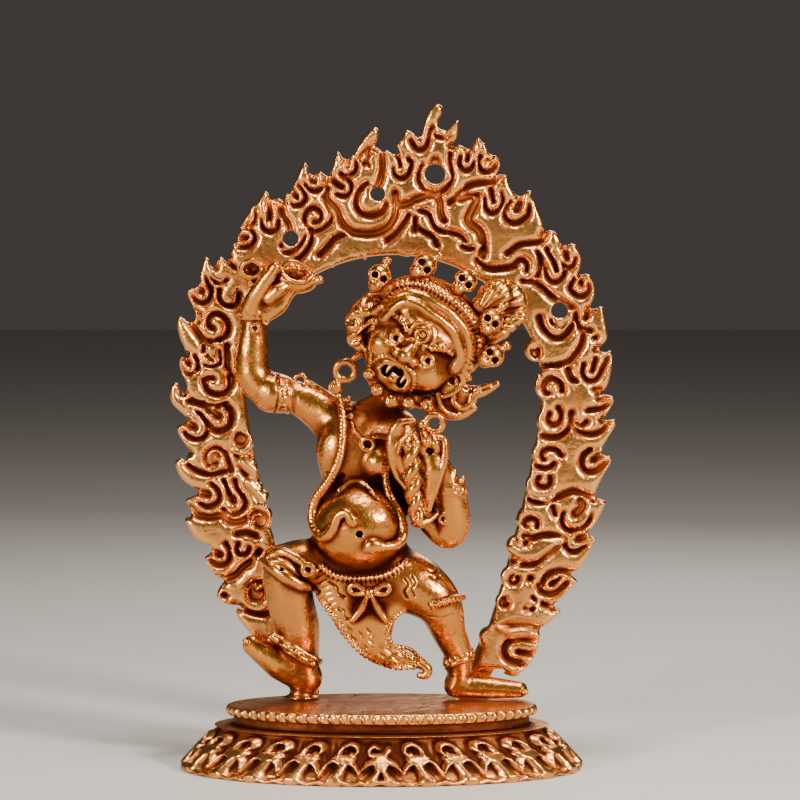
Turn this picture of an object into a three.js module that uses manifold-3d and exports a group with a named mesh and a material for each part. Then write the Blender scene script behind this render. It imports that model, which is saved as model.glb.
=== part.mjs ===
// A small gilt statuette: a wrathful figure on a lotus base, in front of a halo of flames.
// Millimetres, +Z up, the figure faces -Y, origin at the middle of the underside of the base.

import * as THREE from "three";
import { mergeVertices } from "three/addons/utils/BufferGeometryUtils.js";
import Module from "manifold-3d";

const wasm = await Module();
wasm.setup();

// Lotus base
const footWidth = 53.5;
const footDepth = 33;
const plateWidth = 41.9;
const plateDepth = 22;
const plateTop = 8.6;
const plateThickness = 1.3;
const neckInset = 1.1;
const shoulderHeight = 5.6;
const footEdgeHeight = 0.9;
const skirtReach = (footDepth - plateDepth) / 2;
const petalCount = 24;
const petalGrooveDepth = 1.05;
const petalLipSize = [1.5, 0.9, 0.85];
const petalLipSpread = 0.3;
const petalLipProud = 0.3;
const petalLipDrop = 0.35;

// Halo of flames
const haloAxis = 1.6;
const haloWidestHeight = 50.5;
const haloInnerHalfWidth = 19.8;
const haloInnerRise = 18.2;
const haloTaper = 0.0555;
const haloTaperPower = 1.4;
const haloFront = 5.5;
const haloRecess = 6.7;
const haloBack = 8.3;
const bandWidth = 6.8;
const bandTopExtra = 4.8;
const bandTopReach = 24;
const bandFootNarrowing = 2.6;
const haloEdgeLength = 72;
const flameFullness = 1.25;
const haloFootHeight = 14.5;
const tangOverlap = 2.5;
const tangTopOffset = 14;
const pieceGap = 0.3;

// Figure
const headTilt = THREE.MathUtils.degToRad(36);
const headCentre = [4.1, -1.0, 56.9];
const skullRadius = 1.5;
const skullRingRadius = 9.9;
const skullAngles = [158, 119, 88, 51, 26];

// The middles of the figure's joints. Right and left are the figure's own.
const pose = {
  rightShoulder: [-5.2, 2.8, 45.6],
  rightElbow: [-17.3, 3.2, 52.8],
  rightWrist: [-17.1, 2.8, 60.4],
  leftShoulder: [2.0, 2.6, 45.0],
  leftElbow: [8.8, -0.8, 31.9],
  leftWrist: [8.9, -3.2, 37.8],
  leftHand: [6.4, -4.6, 43.0],
  rightHip: [-3.2, 2.6, 26.6],
  rightKnee: [-12.6, 1.2, 26.8],
  rightAnkle: [-10.7, 4.0, 12.0],
  rightToes: [-17.6, 3.4, 16.2],
  leftHip: [0.6, 2.6, 26.0],
  leftKnee: [7.6, 0.8, 22.0],
  leftAnkle: [10.4, 3.8, 11.4],
  leftToes: [18.8, 3.0, 10.1],
};

// The most faces that each piece's surface is given.
const baseFaces = 1700;
const haloFaces = 3400;
const figureFaces = 4600;

// How the surfaces are put together and simplified.
const weldDistance = 1e-4;
const smallestFace = 1e-4;
const longEdgeCost = 1e-4;
const leastTurnCosine = 0.5;
const passShare = 0.25;

const gilt = { color: 0xd9973a, roughness: 0.34, metalness: 1 };
const darkGilt = { color: 0xa86a2c, roughness: 0.42, metalness: 1 };

function material({ color, roughness, metalness }) {
  return new THREE.MeshStandardMaterial({ color, roughness, metalness });
}

// Turns a closed geometry into a solid that can be joined and cut.
function solid(geometry) {
  const bare = geometry.index ? geometry.toNonIndexed() : geometry.clone();
  bare.deleteAttribute("normal");
  bare.deleteAttribute("uv");
  const merged = mergeVertices(bare, weldDistance);
  const corners = merged.index.array;
  const kept = [];
  for (let i = 0; i < corners.length; i += 3) {
    const [a, b, c] = [corners[i], corners[i + 1], corners[i + 2]];
    if (a !== b && b !== c && c !== a) kept.push(a, b, c);
  }
  return new wasm.Manifold(
    new wasm.Mesh({
      numProp: 3,
      vertProperties: new Float32Array(merged.attributes.position.array),
      triVerts: new Uint32Array(kept),
    }),
  );
}

function geometryOf(body, mostFaces) {
  const mesh = body.getMesh();
  const points = [];
  for (let i = 0; i < mesh.vertProperties.length; i += 3) {
    points.push(new THREE.Vector3().fromArray(mesh.vertProperties, i));
  }
  let faces = [];
  for (let i = 0; i < mesh.triVerts.length; i += 3) {
    faces.push(Array.from(mesh.triVerts.slice(i, i + 3)));
  }
  while (faces.length > mostFaces) {
    const fewer = foldFlattestEdges(points, faces, mostFaces);
    if (fewer.length === faces.length) break;
    faces = fewer;
  }
  const geometry = new THREE.BufferGeometry();
  geometry.setAttribute("position", new THREE.Float32BufferAttribute(points.flatMap((p) => p.toArray()), 3));
  geometry.setIndex(faces.flat());
  geometry.computeVertexNormals();
  return geometry;
}

function faceNormal(points, [a, b, c]) {
  const side = new THREE.Vector3().subVectors(points[b], points[a]);
  return side.cross(new THREE.Vector3().subVectors(points[c], points[a]));
}

// The square distances from a place to the planes of some faces, weighed by their areas.
function distanceFromPlanes(place, planes) {
  let sum = 0;
  for (const { normal, area, through } of planes) {
    const away = normal.dot(place) - normal.dot(through);
    sum += area * away * away;
  }
  return sum;
}

// One pass over a closed surface: folds away the edges that its shape needs least.
// An edge is kept where folding it would turn a face over or pinch the surface.
function foldFlattestEdges(points, faces, mostFaces) {
  const facesAt = points.map(() => []);
  faces.forEach((face, i) => face.forEach((corner) => facesAt[corner].push(i)));
  const planes = faces.map((face) => {
    const normal = faceNormal(points, face);
    const area = normal.length() / 2;
    return { normal: normal.normalize(), area, through: points[face[0]] };
  });
  const neighbours = facesAt.map((list) => new Set(list.flatMap((i) => faces[i])));
  const edges = [];
  for (const [a, b, c] of faces) {
    for (const [from, to] of [[a, b], [b, c], [c, a]]) {
      if (from > to) continue;
      const around = [...facesAt[from], ...facesAt[to]].map((i) => planes[i]);
      const middle = new THREE.Vector3().addVectors(points[from], points[to]).multiplyScalar(0.5);
      const places = [points[from].clone(), points[to].clone(), middle];
      const costs = places.map((place) => distanceFromPlanes(place, around));
      const best = costs.indexOf(Math.min(...costs));
      const length = points[from].distanceTo(points[to]);
      edges.push({ from, to, place: places[best], cost: costs[best] + longEdgeCost * length ** 2 });
    }
  }
  edges.sort((one, other) => one.cost - other.cost);
  const touched = new Set();
  const gone = new Set();
  for (const { from, to, place } of edges.slice(0, Math.ceil(edges.length * passShare))) {
    if (faces.length - gone.size <= mostFaces) break;
    const ring = [...neighbours[from], ...neighbours[to]];
    if (ring.some((corner) => touched.has(corner))) continue;
    const shared = [...neighbours[from]].filter((corner) => neighbours[to].has(corner));
    if (shared.length !== 4) continue;
    const kept = [...facesAt[from], ...facesAt[to]].filter(
      (i) => !(faces[i].includes(from) && faces[i].includes(to)),
    );
    const before = [points[from].clone(), points[to].clone()];
    points[from].copy(place);
    points[to].copy(place);
    const turned = kept.some((i) => {
      const normal = faceNormal(points, faces[i]);
      return normal.length() < smallestFace || normal.normalize().dot(planes[i].normal) < leastTurnCosine;
    });
    if (turned) {
      points[from].copy(before[0]);
      points[to].copy(before[1]);
      continue;
    }
    for (const i of facesAt[to]) {
      if (faces[i].includes(from)) gone.add(i);
      else faces[i] = faces[i].map((corner) => (corner === to ? from : corner));
    }
    ring.forEach((corner) => touched.add(corner));
  }
  return faces.filter((face, i) => !gone.has(i));
}

function join(bodies) {
  return bodies.reduce((sum, body) => sum.add(body));
}

// A value read off a list of evenly spaced values, at t from 0 to 1.
function readAt(values, t) {
  const place = THREE.MathUtils.clamp(t, 0, 1) * (values.length - 1);
  const low = Math.min(Math.floor(place), values.length - 2);
  return THREE.MathUtils.lerp(values[low], values[low + 1], place - low);
}

// A round limb: a lathed spindle bent along a curve, with a thickness for each of its points.
// flat below 1 makes it thinner from front to back, and its ends are short blunt cones.
function limb(points, radii, { sides = 6, steps = 4, flat = 1 } = {}) {
  const bluntness = 0.6;
  const places = points.map((p) => new THREE.Vector3(...p));
  const curve = new THREE.CatmullRomCurve3(places, false, "centripetal");
  const rings = [{ t: 0, back: -bluntness, size: 0 }];
  for (let i = 0; i <= steps; i += 1) rings.push({ t: i / steps, back: 0, size: 1 });
  rings.push({ t: 1, back: bluntness, size: 0 });
  const profile = rings.map((ring, i) => new THREE.Vector2(ring.size, i));
  const geometry = new THREE.LatheGeometry(profile, sides);
  const position = geometry.attributes.position;
  for (let i = 0; i < position.count; i += 1) {
    const ring = rings[Math.round(position.getY(i))];
    const radius = readAt(radii, ring.t);
    const along = curve.getTangent(ring.t);
    const across = new THREE.Vector3(along.z, 0, -along.x);
    const upright = across.length() < 0.05;
    if (upright) across.set(1, 0, 0);
    across.normalize();
    const outward = new THREE.Vector3().crossVectors(across, along).normalize();
    const centre = curve.getPoint(ring.t).addScaledVector(along, ring.back * radius);
    centre.addScaledVector(across, position.getX(i) * radius);
    centre.addScaledVector(outward, -position.getZ(i) * radius * flat);
    position.setXYZ(i, centre.x, centre.y, centre.z);
  }
  return outwardSolid(geometry);
}

// Closed geometry whose faces may point inward is turned the right way round.
function outwardSolid(geometry) {
  const body = solid(geometry);
  if (body.volume() > 0) return body;
  const flipped = geometry.toNonIndexed();
  const position = flipped.attributes.position;
  for (let i = 0; i < position.count; i += 3) {
    const first = new THREE.Vector3().fromBufferAttribute(position, i);
    const last = new THREE.Vector3().fromBufferAttribute(position, i + 2);
    position.setXYZ(i, last.x, last.y, last.z);
    position.setXYZ(i + 2, first.x, first.y, first.z);
  }
  return solid(flipped);
}

// An egg shape, turned by lean in the plane that faces the viewer.
function egg(centre, radii, lean = 0, { around = 7, down = 5 } = {}) {
  const geometry = new THREE.SphereGeometry(1, around, down);
  geometry.rotateX(Math.PI / 2);
  geometry.scale(...radii);
  geometry.rotateY(lean);
  geometry.translate(...centre);
  return solid(geometry);
}

// A ring that faces the viewer, or lies round a limb when turn is given.
function ring(centre, radius, thickness, turn = [Math.PI / 2, 0, 0], { around = 8, sides = 4 } = {}) {
  const geometry = new THREE.TorusGeometry(radius, thickness, sides, around);
  geometry.rotateX(turn[0]);
  geometry.rotateY(turn[1]);
  geometry.rotateZ(turn[2]);
  geometry.translate(...centre);
  return solid(geometry);
}

// A flat piece drawn in x and z, between two depths.
function slab(outline, front, back) {
  const shape = new THREE.Shape(outline.map(([x, z]) => new THREE.Vector2(x, z)));
  const geometry = new THREE.ExtrudeGeometry(shape, { depth: back - front, bevelEnabled: false });
  geometry.rotateX(Math.PI / 2);
  geometry.translate(0, back, 0);
  return outwardSolid(geometry);
}

// The outline of a tapering stroke with a rounded tip, along a smooth line through its points.
function strokeOutline(points, rootWidth, tipWidth, steps) {
  const taperPower = 1.6;
  const swell = 0.25;
  const clearShare = 0.93;
  const curve = new THREE.SplineCurve(points.map(([x, z]) => new THREE.Vector2(x, z)));
  const middle = curve.getPoints(4 * steps);
  const left = [];
  const right = [];
  for (let i = 0; i <= steps; i += 1) {
    const t = i / steps;
    const centre = curve.getPoint(t);
    const along = curve.getTangent(t);
    const plain = THREE.MathUtils.lerp(rootWidth, tipWidth, t ** taperPower);
    const width = plain * (1 + swell * Math.sin(Math.PI * t));
    const onLeft = new THREE.Vector2(centre.x - along.y * width, centre.y + along.x * width);
    const onRight = new THREE.Vector2(centre.x + along.y * width, centre.y - along.x * width);
    const clear = (place) => middle.every((point) => point.distanceTo(place) > clearShare * width);
    if (clear(onLeft)) left.push(onLeft.toArray());
    if (clear(onRight)) right.unshift(onRight.toArray());
  }
  const tip = curve.getPoint(1).addScaledVector(curve.getTangent(1), tipWidth);
  return [...left, [tip.x, tip.y], ...right];
}

function stroke(points, rootWidth) {
  const tipWidth = 0.35;
  const steps = points.length > 4 ? 5 : 3;
  return slab(strokeOutline(points, rootWidth, tipWidth, steps), haloFront, haloBack);
}

// Base: a point of an oval, with the angle of a circle that is stretched to the oval.
function ovalPoint(angle, width, depth) {
  return [(width / 2) * Math.cos(angle), (depth / 2) * Math.sin(angle)];
}

// The angles of places spaced evenly by length round the foot, from the middle of the front.
function evenAngles(count) {
  const fine = 3600;
  const lengths = [0];
  const start = -Math.PI / 2;
  for (let i = 1; i <= fine; i += 1) {
    const [x0, y0] = ovalPoint(start + ((i - 1) / fine) * 2 * Math.PI, footWidth, footDepth);
    const [x1, y1] = ovalPoint(start + (i / fine) * 2 * Math.PI, footWidth, footDepth);
    lengths.push(lengths[i - 1] + Math.hypot(x1 - x0, y1 - y0));
  }
  const angles = [];
  for (let k = 0; k <= count; k += 1) {
    const place = lengths.findIndex((length) => length >= (k / count) * lengths[fine] - 1e-9);
    angles.push(start + (place / fine) * 2 * Math.PI);
  }
  return angles;
}

// Each level of the base: height, how far out of the plate's rim it lies, and how deep the petals cut.
const baseLevels = [
  { height: 0, spread: 1, petal: 0.35 },
  { height: footEdgeHeight, spread: 1.0, petal: 0.35 },
  { height: 3.0, spread: 0.68, petal: 1 },
  { height: shoulderHeight, spread: 0.27, petal: 0.6 },
  { height: 6.3, spread: -neckInset / skirtReach, petal: 0 },
  { height: plateTop - plateThickness, spread: -neckInset / skirtReach, petal: 0 },
  { height: plateTop - plateThickness, spread: 0, petal: 0 },
  { height: plateTop, spread: 0, petal: 0 },
];

function baseBody() {
  const perPetal = 4;
  const around = petalCount * perPetal;
  const angles = evenAngles(around);
  const profile = [new THREE.Vector2(0, 0)];
  baseLevels.forEach((level, i) => profile.push(new THREE.Vector2(1, i)));
  profile.push(new THREE.Vector2(0, baseLevels.length - 1));
  const geometry = new THREE.LatheGeometry(profile, around);
  const position = geometry.attributes.position;
  const levelsAround = profile.length;
  for (let i = 0; i < position.count; i += 1) {
    const level = baseLevels[Math.round(position.getY(i))];
    const size = Math.hypot(position.getX(i), position.getZ(i));
    const step = Math.floor(i / levelsAround) % around;
    const width = THREE.MathUtils.lerp(plateWidth, footWidth, level.spread);
    const depth = THREE.MathUtils.lerp(plateDepth, footDepth, level.spread);
    const wave = Math.cos((2 * Math.PI * step) / perPetal);
    const cut = level.petal * petalGrooveDepth * (0.5 - 0.5 * wave);
    const [x, y] = ovalPoint(angles[step], width - 2 * cut, depth - 2 * cut);
    position.setXYZ(i, size * x, size * y, level.height);
  }
  return outwardSolid(geometry);
}

// The curled lip at the top of a petal.
function petalLip(angle) {
  const [x, y] = ovalPoint(
    angle,
    THREE.MathUtils.lerp(plateWidth, footWidth, petalLipSpread) + petalLipProud,
    THREE.MathUtils.lerp(plateDepth, footDepth, petalLipSpread) + petalLipProud,
  );
  const geometry = new THREE.SphereGeometry(1, 6, 4);
  geometry.rotateX(Math.PI / 2);
  geometry.scale(...petalLipSize);
  geometry.rotateZ(Math.atan2(y / plateDepth ** 2, x / plateWidth ** 2) + Math.PI / 2);
  geometry.translate(x, y, shoulderHeight - petalLipDrop);
  return solid(geometry);
}

function buildBase() {
  const parts = [baseBody()];
  for (const angle of evenAngles(petalCount).slice(1)) parts.push(petalLip(angle));
  return join(parts);
}

// Halo: a point on the inner edge, at t from the top (0) to the foot (1) of one side.
function haloEdge(side, t) {
  const archShare = 0.42;
  if (t <= archShare) {
    const angle = (t / archShare) * (Math.PI / 2);
    const x = haloAxis + side * haloInnerHalfWidth * Math.sin(angle);
    return [x, haloWidestHeight + haloInnerRise * Math.cos(angle)];
  }
  const drop = ((t - archShare) / (1 - archShare)) * (haloWidestHeight - haloFootHeight);
  const x = haloAxis + side * (haloInnerHalfWidth - haloTaper * drop ** haloTaperPower);
  return [x, haloWidestHeight - drop];
}

// The band that the flames grow from, wider at the top and narrower at the feet.
function bandOutline() {
  const steps = 14;
  const narrowFrom = 0.8;
  const inner = [];
  const outer = [];
  for (let i = -steps; i <= steps; i += 1) {
    const side = i < 0 ? -1 : 1;
    const t = Math.abs(i) / steps;
    const here = haloEdge(side, t);
    const after = haloEdge(side, t + 0.01);
    const along = Math.atan2(after[1] - here[1], after[0] - here[0]);
    const outward = along + (side * Math.PI) / 2;
    const topSwell = bandTopExtra * Math.exp(-(((t * haloEdgeLength) / bandTopReach) ** 2));
    const footLoss = bandFootNarrowing * THREE.MathUtils.smoothstep(t, narrowFrom, 1);
    const width = bandWidth + topSwell - footLoss;
    inner.push(here);
    outer.unshift([here[0] + Math.cos(outward) * width, here[1] + Math.sin(outward) * width]);
  }
  return [...inner, ...outer];
}

// Flames as tapering strokes from root to tip: half thickness at the root, then points in x and z.
const flames = {
  crown: [
    [1.1, [3.5, 76.8], [4.5, 79.9], [4.3, 81.9], [3.0, 83.8], [3.2, 85.1]],
    [1.0, [4.5, 80.7], [6.1, 82.5], [6.1, 84.5], [6.0, 86.6], [7.7, 88.8]],
    [0.9, [6.1, 81.9], [7.9, 83.4], [9.5, 84.5], [10.1, 86.4]],
    [0.9, [4.5, 79.9], [3.4, 78.3], [1.7, 77.9], [0.8, 79.9], [0.6, 82.6]],
  ],
  crownLeft: [
    [0.9, [-3.9, 77.8], [-3.9, 80.1], [-3.1, 82.2], [-0.8, 85.5]],
    [0.8, [-4.7, 77.3], [-5.9, 79.6], [-5.9, 82.2]],
    [0.7, [-2.9, 77.8], [-1.2, 79.9], [-0.8, 81.9]],
    [1.0, [-6.5, 77.0], [-5.2, 74.4], [-3.4, 73.0], [-1.3, 72.7], [0.6, 74.1], [1.2, 76.8]],
  ],
  leftShoulder: [
    [0.9, [-9.4, 76.3], [-10.9, 77.8], [-10.7, 79.4], [-10.5, 80.8]],
    [0.8, [-8.8, 76.5], [-7.8, 77.8], [-8.3, 79.5]],
    [1.0, [-10.6, 69.8], [-9.1, 70.8], [-5.5, 72.4]],
  ],
  leftUpper: [
    [1.0, [-16.9, 70.1], [-16.4, 72.6], [-16.1, 74.7], [-15.7, 76.9]],
    [0.8, [-15.9, 70.3], [-13.8, 72.4], [-14.3, 75.4]],
    [0.9, [-17.0, 70.2], [-19.2, 70.1], [-20.9, 68.6]],
    [0.6, [-18.4, 71.0], [-18.2, 72.8], [-17.6, 74.6]],
    [0.8, [-14.5, 70.1], [-13.5, 68.3], [-11.2, 68.3], [-9.6, 70.1], [-9.4, 71.9]],
  ],
  leftHigh: [
    [0.9, [-22.6, 62.3], [-22.9, 64.1], [-24.1, 65.9], [-23.7, 68.0]],
    [0.8, [-22.1, 62.6], [-21.0, 65.2], [-21.6, 68.2]],
    [0.9, [-22.9, 61.5], [-25.2, 61.8], [-26.1, 63.8]],
  ],
  leftWide: [
    [1.3, [-24.0, 54.8], [-25.9, 57.0], [-27.3, 59.9]],
    [0.8, [-24.4, 53.1], [-26.3, 52.9], [-27.1, 54.4]],
  ],
  leftWave: [
    [1.0, [-23.9, 44.6], [-24.9, 47.1], [-27.4, 48.7], [-28.2, 50.9]],
    [0.6, [-23.4, 47.1], [-22.1, 45.8], [-21.0, 46.9], [-21.8, 48.2]],
    [0.8, [-24.7, 43.7], [-26.4, 43.8], [-27.4, 45.1]],
  ],
  leftLong: [
    [1.0, [-21.8, 34.5], [-22.3, 37.3], [-25.7, 38.1], [-27.8, 40.6]],
    [0.8, [-22.6, 34.2], [-24.4, 34.5], [-26.3, 35.6]],
    [1.0, [-18.4, 33.7], [-17.9, 35.8], [-19.0, 37.8], [-19.7, 39.3]],
  ],
  leftBroad: [
    [1.3, [-20.5, 29.8], [-22.9, 30.6], [-25.2, 31.1], [-26.7, 32.8]],
    [0.8, [-21.5, 30.3], [-20.4, 30.8], [-19.2, 31.6]],
    [0.8, [-19.6, 27.9], [-21.5, 26.2], [-23.8, 27.3]],
  ],
  leftCrescent: [
    [0.9, [-16.6, 27.0], [-18.4, 24.7], [-20.5, 23.6], [-22.3, 23.5]],
    [0.9, [-13.8, 18.2], [-15.1, 19.3], [-17.5, 19.4], [-19.7, 20.2]],
  ],
  rightCrown: [
    [0.9, [11.3, 77.8], [12.8, 79.9], [12.6, 81.9], [13.3, 84.1]],
    [0.8, [10.7, 78.9], [10.0, 80.9], [10.5, 83.2]],
    [0.8, [12.6, 79.4], [15.2, 79.9], [15.6, 81.7]],
    [0.9, [8.1, 75.8], [10.2, 77.8], [11.8, 78.9]],
  ],
  rightBroad: [
    [1.1, [15.1, 72.7], [16.2, 75.8], [16.2, 77.6], [16.8, 79.1]],
    [1.4, [16.4, 71.6], [20.0, 72.6], [21.1, 74.5], [19.9, 76.9]],
    [0.9, [14.6, 73.2], [13.3, 75.2], [11.9, 77.3]],
    [2.1, [14.9, 68.4], [15.4, 70.1], [16.4, 72.1]],
    [0.7, [15.4, 67.7], [17.5, 68.2], [19.8, 69.0], [20.6, 67.5], [19.5, 66.0]],
  ],
  rightRibbon: [
    [0.9, [12.3, 69.5], [11.8, 71.6], [10.2, 73.4], [11.0, 75.7]],
    [0.6, [2.4, 73.7], [3.7, 75.1], [5.5, 75.2], [6.8, 73.7], [8.1, 72.4], [9.4, 74.2]],
    [0.6, [5.3, 73.9], [6.1, 72.4], [7.9, 70.8], [9.7, 70.8], [11.0, 69.3], [12.5, 68.9]],
    [0.6, [-2.0, 69.6], [-1.2, 70.6], [0.9, 71.6], [2.7, 73.7]],
    [0.5, [2.2, 69.8], [3.2, 70.8], [3.7, 72.6]],
  ],
  rightUpper: [
    [1.0, [22.4, 64.6], [24.0, 67.6], [23.1, 71.4]],
    [0.9, [23.9, 63.8], [26.3, 67.0], [26.3, 69.7]],
    [0.9, [26.2, 62.8], [28.2, 63.3], [28.1, 65.6]],
    [1.0, [21.6, 65.4], [23.7, 64.6], [26.0, 63.6]],
  ],
  rightHigh: [
    [0.9, [26.4, 56.6], [29.4, 58.6], [29.9, 61.4]],
    [1.3, [20.6, 64.2], [21.6, 61.8], [21.4, 58.9], [23.7, 56.3], [26.2, 57.1], [26.5, 58.7]],
  ],
  rightMiddle: [
    [0.9, [27.2, 51.0], [30.0, 52.2], [30.7, 55.3]],
    [0.7, [26.3, 52.0], [27.5, 54.1], [27.4, 56.6]],
    [0.9, [24.5, 51.8], [26.3, 51.0], [27.6, 50.2]],
    [0.8, [26.2, 49.4], [28.6, 48.9], [31.0, 49.2]],
    [1.0, [26.3, 48.2], [28.4, 47.2], [30.4, 47.4], [31.2, 48.8]],
  ],
  rightPlain: [
    [1.0, [24.2, 43.5], [26.8, 43.4], [29.4, 43.8], [31.5, 45.9]],
    [1.2, [26.0, 38.3], [28.9, 38.4], [30.8, 40.8]],
    [1.9, [25.8, 42.7], [26.0, 39.9], [25.2, 37.7]],
  ],
  rightFork: [
    [0.9, [24.6, 31.0], [28.4, 32.4], [30.1, 34.9]],
    [0.8, [24.6, 33.2], [26.3, 34.6], [26.5, 36.6]],
    [0.9, [22.6, 33.6], [23.6, 31.8], [25.4, 30.8]],
  ],
  rightLow: [
    [1.0, [23.2, 27.5], [25.3, 28.0], [27.3, 28.3], [28.8, 30.1]],
    [1.0, [24.2, 30.0], [21.6, 28.2], [19.0, 28.1], [17.4, 29.2]],
    [1.0, [19.8, 24.1], [21.6, 25.9], [23.7, 27.4]],
    [0.9, [20.6, 22.7], [22.7, 22.0], [24.7, 22.8], [26.3, 24.6]],
  ],
  rightFoot: [
    [0.9, [17.7, 20.0], [19.8, 19.2], [21.9, 19.4], [24.1, 20.3]],
    [0.8, [16.5, 16.2], [18.3, 16.9], [20.1, 17.0], [21.6, 16.3]],
    [0.8, [15.2, 14.2], [16.9, 13.1], [18.4, 12.6], [19.6, 13.0]],
  ],
};

// Hooked curls: x, z, outer radius and the side that they turn to.
const curls = [
  [-9.1, 73.7, 2.0, -1], [-22.2, 59.5, 2.0, -1], [-22.8, 51.4, 2.2, -1], [-18.9, 43.0, 1.7, -1],
  [-22.3, 40.7, 2.1, 1], [-16.6, 32.7, 1.6, -1], [-18.4, 29.0, 1.4, -1], [-16.9, 22.6, 1.9, 1],
  [-4.5, 69.6, 1.5, -1], [-1.4, 69.8, 1.0, 1], [18.9, 66.8, 1.2, 1], [20.9, 56.4, 1.3, 1],
  [28.4, 57.9, 1.3, 1], [22.7, 51.0, 2.1, 1], [23.2, 46.4, 1.8, 1], [27.0, 46.2, 1.3, 1],
  [22.6, 42.0, 1.7, 1], [21.7, 38.1, 1.7, 1], [20.4, 32.4, 1.9, 1], [18.6, 29.9, 1.2, 1],
  [18.0, 24.6, 1.7, 1], [17.6, 21.4, 1.5, 1], [20.2, 21.5, 1.0, -1],
];

// Round holes through the halo: x, z, radius.
const haloHoles = [[-12.3, 70.8, 1.15], [-0.6, 76.9, 1.0], [7.3, 79.4, 1.4], [23.9, 61.5, 1.1]];

// The two tangs that stand on the plate: x and half width.
const haloTangs = [[-10.2, 1.7], [11.8, 1.7]];

function curl([x, z, radius, side]) {
  const turns = 4;
  const width = radius * 0.22;
  const startAngle = Math.PI / 4;
  const sweep = Math.PI * 1.4;
  const closing = radius * 0.25;
  const points = [];
  for (let i = 0; i <= turns; i += 1) {
    const angle = side * (startAngle + (i / turns) * sweep);
    const reach = radius - width - (i / turns) * closing;
    points.push([x + reach * Math.sin(angle), z + reach * Math.cos(angle)]);
  }
  return slab(strokeOutline(points, width * 1.3, width * 0.9, turns), haloFront, haloBack);
}

function haloHole([x, z, radius]) {
  const drillLength = 2 * (haloBack - haloFront);
  const geometry = new THREE.CylinderGeometry(radius, radius, drillLength, 8);
  geometry.translate(x, (haloFront + haloBack) / 2, z);
  return solid(geometry);
}

function tang([x, half]) {
  const side = Math.sign(x);
  const top = haloFootHeight + tangOverlap;
  return slab(
    [
      [x - half, plateTop + pieceGap],
      [x + half, plateTop + pieceGap],
      [haloAxis + side * tangTopOffset + half, top],
      [haloAxis + side * tangTopOffset - half, top],
    ],
    haloRecess + 0.1,
    haloBack,
  );
}

function buildHalo() {
  const parts = [slab(bandOutline(), haloRecess, haloBack)];
  for (const group of Object.values(flames)) {
    for (const [width, ...points] of group) parts.push(stroke(points, width * flameFullness));
  }
  for (const place of curls) parts.push(curl(place));
  for (const place of haloTangs) parts.push(tang(place));
  let body = join(parts);
  for (const place of haloHoles) body = body.subtract(haloHole(place));
  return body;
}

// Head: a place given as right, up and forward of the head's own middle.
function inHead(right, up, forward = 0) {
  const cos = Math.cos(headTilt);
  const sin = Math.sin(headTilt);
  return [
    headCentre[0] + right * cos + up * sin,
    headCentre[1] - forward,
    headCentre[2] - right * sin + up * cos,
  ];
}

function headEgg(right, up, forward, radii, detail) {
  return egg(inHead(right, up, forward), radii, headTilt, detail);
}

function headLimb(points, radii, options) {
  return limb(points.map((p) => inHead(...p)), radii, options);
}

function face() {
  return [
    headEgg(0.2, -0.6, 0, [6.0, 6.9, 5.2], { around: 10, down: 7 }),
    headEgg(-3.0, -2.6, 3.4, [2.0, 1.8, 1.7]),
    headEgg(3.5, -2.7, 3.2, [2.3, 2.1, 1.8]),
    headLimb([[0.1, -0.2, 4.4], [0.1, -2.0, 5.1]], [0.8, 1.3], { sides: 5, steps: 1 }),
    headEgg(-2.4, -0.4, 4.3, [1.1, 1.1, 0.9], { around: 6, down: 4 }),
    headEgg(2.8, -0.3, 4.3, [1.1, 1.1, 0.9], { around: 6, down: 4 }),
    headEgg(0.2, 2.1, 4.5, [1.1, 1.1, 0.9], { around: 6, down: 4 }),
    headEgg(0.4, -5.6, 2.9, [3.6, 2.4, 2.6], { around: 8, down: 5 }),
    headEgg(6.4, -1.2, 0.6, [1.3, 2.3, 1.3], { around: 6, down: 4 }),
  ];
}

// The bands of the crown, each an arch over the face.
function crownBand(radius, forward, thickness) {
  const start = THREE.MathUtils.degToRad(-14);
  const sweep = THREE.MathUtils.degToRad(190);
  const middle = [0.6, -1.0];
  const parts = 6;
  const points = [];
  for (let i = 0; i <= parts; i += 1) {
    const angle = start + (i / parts) * sweep;
    points.push([middle[0] + radius * Math.cos(angle), middle[1] + radius * Math.sin(angle), forward]);
  }
  return headLimb(points, [thickness, thickness], { sides: 4, steps: 8 });
}

function skull(angle) {
  const turn = THREE.MathUtils.degToRad(angle);
  const middle = [0.3, 1.0];
  const place = (distance) => [
    middle[0] + distance * Math.cos(turn),
    middle[1] + distance * Math.sin(turn),
  ];
  const [right, up] = place(skullRingRadius);
  const lean = headTilt + Math.PI / 2 - turn;
  const size = [skullRadius * 0.92, skullRadius * 0.95, skullRadius * 1.15];
  const foot = place(skullRingRadius - 4.4);
  const knob = place(skullRingRadius + 1.9);
  return [
    egg(inHead(right, up, 2.0), size, lean, { around: 6, down: 4 }),
    headLimb([[...foot, 0.2], [...knob, 2.0]], [1.6, 0.7], { sides: 4, steps: 2 }),
  ];
}

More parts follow.
